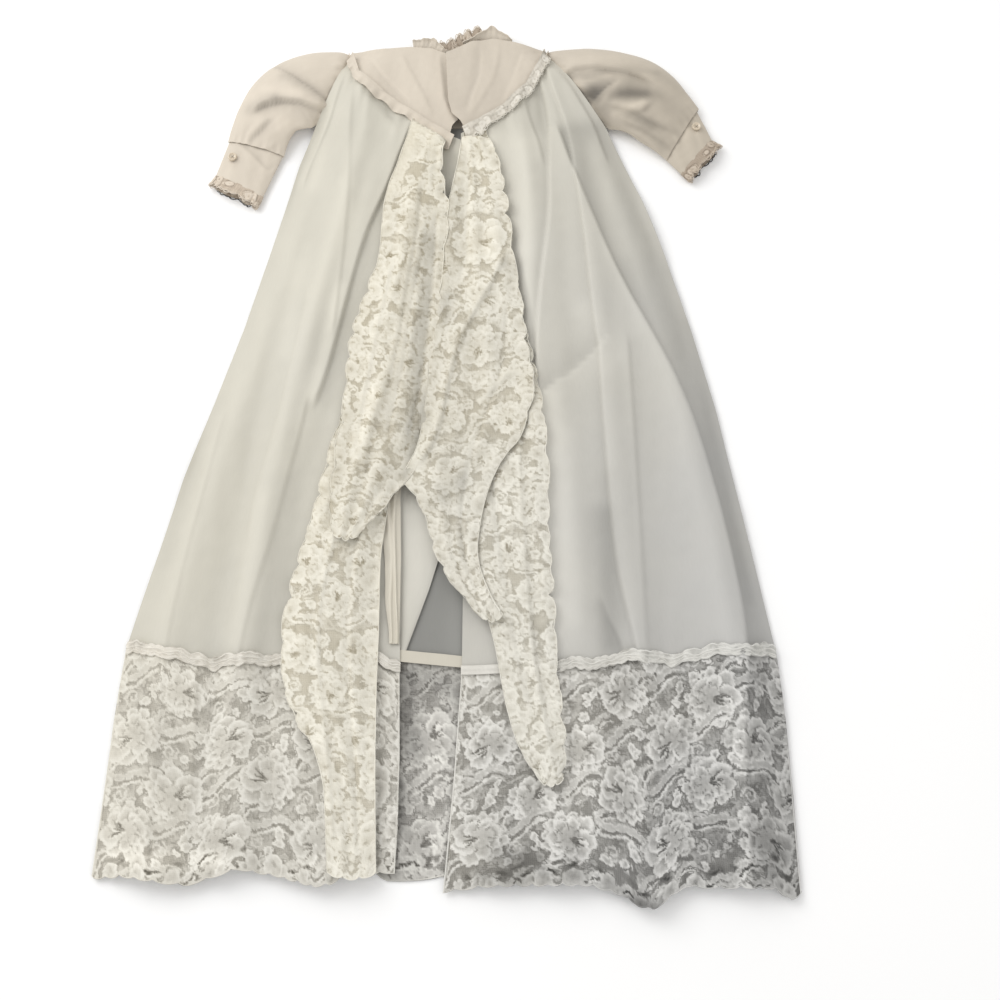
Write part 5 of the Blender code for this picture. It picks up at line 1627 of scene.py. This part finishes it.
def blend_sections(sections, part):
    """The section a given part of the way along a sleeve."""
    flat = np.array([(*section.outer, *section.inner, section.height) for section in sections])
    place = part * (len(flat) - 1)
    k = min(int(place), len(flat) - 2)
    t = place - k
    slopes = np.gradient(flat, axis=0)
    value = ((2 * t ** 3 - 3 * t ** 2 + 1) * flat[k] + (t ** 3 - 2 * t ** 2 + t) * slopes[k]
             + (3 * t ** 2 - 2 * t ** 3) * flat[k + 1] + (t ** 3 - t ** 2) * slopes[k + 1])
    return Section(value[:2], value[2:4], value[4])


def ring(section, inset, count):
    """Points round a flattened tube, whose underside is flat but for its two round edges."""
    middle, half = (section.outer + section.inner) / 2, (section.outer - section.inner) / 2
    reach = np.hypot(*half)
    half = half * (reach - 1.3 * inset) / reach
    height = section.height - 2 * inset
    angle = turns(count)
    across = np.copysign(np.abs(np.cos(angle)) ** 0.85, np.cos(angle))
    upper = height / 2 * (1 + (1 - np.abs(across) ** 2.2) ** 0.6)
    under = height / 2 * np.maximum(0.0, (np.abs(across) - 0.72) / 0.28) ** 2
    z = np.where(np.sin(angle) >= 0, upper, under) + inset
    return np.column_stack((middle + half * across[:, None], z))


def tube(sections, grid, inset, folds):
    """Rings along a tube, with folds on its upper side, and the painted shade of those folds."""
    count, steps = grid
    parts = even(steps)
    rings = np.array([ring(blend_sections(sections, part), inset, count) for part in parts])
    across = np.cos(turns(count))
    over = (np.sin(turns(count)) > 0) * (1 - across ** 2) ** 0.4
    height, shade = edge_folds(folds, rings[..., :2])
    if folds.endswith("sleeve"):
        gather = smooth((parts - 0.86) / 0.14) * 0.0005 + smooth((0.25 - parts) / 0.12) * 0.0005
        height += gather[:, None] * np.sin(across * 24.0 + 2 * parts[:, None])
    else:
        height += 0.0003 * np.sin(across * 11 + parts[:, None] * 4)
    plan = rings[..., :2]
    height += 0.0006 * ripple(plan, 0.028, 15) + 0.0003 * ripple(plan, 0.011, 16)
    rings[..., 2] += height * over[None]
    return rings, TUBE_SHADE * shade * over[None]


def tube_shell(outside, inside, shade):
    """What Drape.shell is for a flat cloth, for a closed wall between two rows of rings."""
    def shell(name, material, weave=None):
        # Painted shade in the hollows of the tube's upper side
        dark = shade + HOLLOW_SHADE * hollows(outside, 12) * (outside[..., 2] > 0.004)
        uv = around(outside).uv()[:, :-1]
        return two_skins(name, outside, inside, uv, dark, material, weave, around=True)
    return shell


def around(rings):
    """A tube's rings as a drape, with its normals outward."""
    drape = Drape(closed(rings))
    outward = np.einsum("ijk,ijk->ij", drape.normals, drape.points - rings.mean(axis=(0, 1))).mean()
    drape.normals *= np.sign(outward)
    drape.shade *= 0
    return drape


def make_tube(side, kind, sections):
    """A sleeve or a cuff, as a closed tube in place of its solid."""
    name = f"{side}_{kind}"
    outside, shade = tube(sections, GRIDS[kind], 0.0, name)
    # Painted shade by side, strongest on the right, away from the key lamp
    shade += SIDE_SHADE[side]
    inside, _ = tube(sections, GRIDS[kind], CLOTH, name)
    piece = tube_shell(outside, inside, shade)(name, MATERIALS["yoke"])
    settle(piece, "yoke_cloth", f"{kind}_{side}")


def moved(section, distance, height, widen=0.0):
    """A copy of a section, moved along the sleeve towards the hand."""
    across = (section.outer - section.inner) / np.hypot(*(section.outer - section.inner))
    forward = np.array((-across[1], across[0]))
    forward *= -np.sign(forward[1])
    step = forward * distance
    return Section(section.outer + step + across * widen, section.inner + step - across * widen,
                   height)


def make_cuff(side):
    start = moved(SLEEVES[side][-1], -0.003, CUFF_HEIGHT, -0.0012)
    sections = (start, CUFF_ENDS[side])
    make_tube(side, "cuff", sections)
    make_cuff_lace(side)
    make_button(side, sections)


def make_cuff_lace(side):
    """The browned lace round the end of a cuff, gathered into small waves."""
    (count, steps), waves = GRIDS["cuff_lace"], 8
    angle = turns(count)
    wave = np.abs(np.sin(waves * angle / 2 + 0.6 * np.sin(3 * angle))) ** 0.7
    skins = []
    for inset in (0.0, NET):
        rings = []
        for part in even(steps):
            place = -0.0012 + part * CUFF_LACE_LENGTH[side]
            near, far = (ring(moved(CUFF_ENDS[side], reach, CUFF_LACE_HEIGHT, 0.0010 * part),
                              inset, count) for reach in (place - 0.0030 * part, place))
            points = near + (far - near) * wave[:, None]
            high = smooth((points[:, 2] - 0.004) / 0.004)
            points[:, 2] += (0.0018 * wave + 0.0006 * np.sin(3 * waves * angle)) * part * high
            rings.append(points)
        skins.append(np.array(rings))
    lace(f"{side}_cuff_net", around(skins[0]), [f"cuff_lace_{side}"], narrow_work,
         "aged_lace", AGED_STEP, AGED_SEED, shell=tube_shell(*skins, 0.0))


def make_button(side, sections):
    """A dished button with a rim, sewn on with crossed thread."""
    down, across = BUTTON_PLACES[side]
    section = blend_sections(sections, down)
    x, y = (section.outer + section.inner) / 2 + (section.outer - section.inner) / 2 * across
    low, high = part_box(f"button_{side}")
    radius, depth, base = (high[0] - low[0]) / 2, high[2] - low[2], low[2] - 0.0008
    angle = turns(BUTTON_COLUMNS)
    rings = np.array([np.column_stack((x + np.cos(angle) * radius * max(r, 0.004),
                                       y + np.sin(angle) * radius * max(r, 0.004),
                                       np.full(BUTTON_COLUMNS, base + depth * h)))
                      for r, h in BUTTON_PROFILE])
    index = np.arange(rings.size // 3).reshape(-1, BUTTON_COLUMNS)
    quads = cells(closed(index)).reshape(-1, 4)[:, [0, 3, 2, 1]]
    points = rings.reshape(-1, 3)
    settle(publish(f"{side}_cuff_button", points, quads, points[:, :2], PEARL), "button",
           f"button_{side}")
    cords = Cords()
    for angle in (math.pi / 4, 3 * math.pi / 4):
        way = np.array((math.cos(angle), math.sin(angle))) * radius * 0.36
        cords.run([way * t for t in np.linspace(-1, 1, 7)], 0.0009, 0.0, 0.0008)
    flat = np.concatenate(cords.points)
    settle(publish(f"{side}_button_thread", flat + (x, y, base + depth * 0.64),
                   np.concatenate(cords.quads), flat[:, :2], MATERIALS["yoke"],
                   shade=np.full(len(flat), 0.3)), "button")


def make_camera_and_light():
    data = bpy.data.cameras.new("camera")
    data.lens = CAMERA_LENS
    data.sensor_width = 36.0
    camera = placed("camera", data)
    away = Vector((0.0, -math.cos(CAMERA_ELEVATION), math.sin(CAMERA_ELEVATION)))
    camera.location = CAMERA_TARGET + away * CAMERA_DISTANCE
    camera.rotation_euler = (-away).to_track_quat("-Z", "Y").to_euler()
    bpy.context.scene.camera = camera
    for name, place, size, power in LAMPS:
        lamp = bpy.data.lights.new(name, "AREA")
        lamp.shape = "SQUARE"
        lamp.size = size
        lamp.energy = power
        thing = placed(name, lamp)
        thing.location = place
        thing.rotation_euler = (-Vector(place)).to_track_quat("-Z", "Y").to_euler()
    world = bpy.data.worlds.new("studio")
    world.use_nodes = True
    sky = world.node_tree.nodes["Background"]
    sky.inputs["Color"].default_value = (1.0, 0.995, 0.985, 1.0)
    sky.inputs["Strength"].default_value = SKY
    bpy.context.scene.world = world
    bpy.context.scene.view_settings.view_transform = "Standard"


def make_floor():
    mesh = bpy.data.meshes.new("floor")
    r = FLOOR_REACH
    mesh.from_pydata([(-r, -r, 0), (r, -r, 0), (r, r, 0), (-r, r, 0)], [], [(0, 1, 2, 3)])
    mesh.materials.append(PALE_FLOOR)
    floor = placed("floor", mesh)
    floor.location.z = -FLOOR_DROP


make_camera_and_light()
make_floor()
make_back_panels()
make_back_lace()
make_back_fold()
make_hem_band()
make_fronts()
make_headings()
make_front_yokes()
make_placket()
make_ruffles()
make_neck_lace()
for sleeve_side in SIDES:
    make_tube(sleeve_side, "sleeve", SLEEVES[sleeve_side])
    make_cuff(sleeve_side)
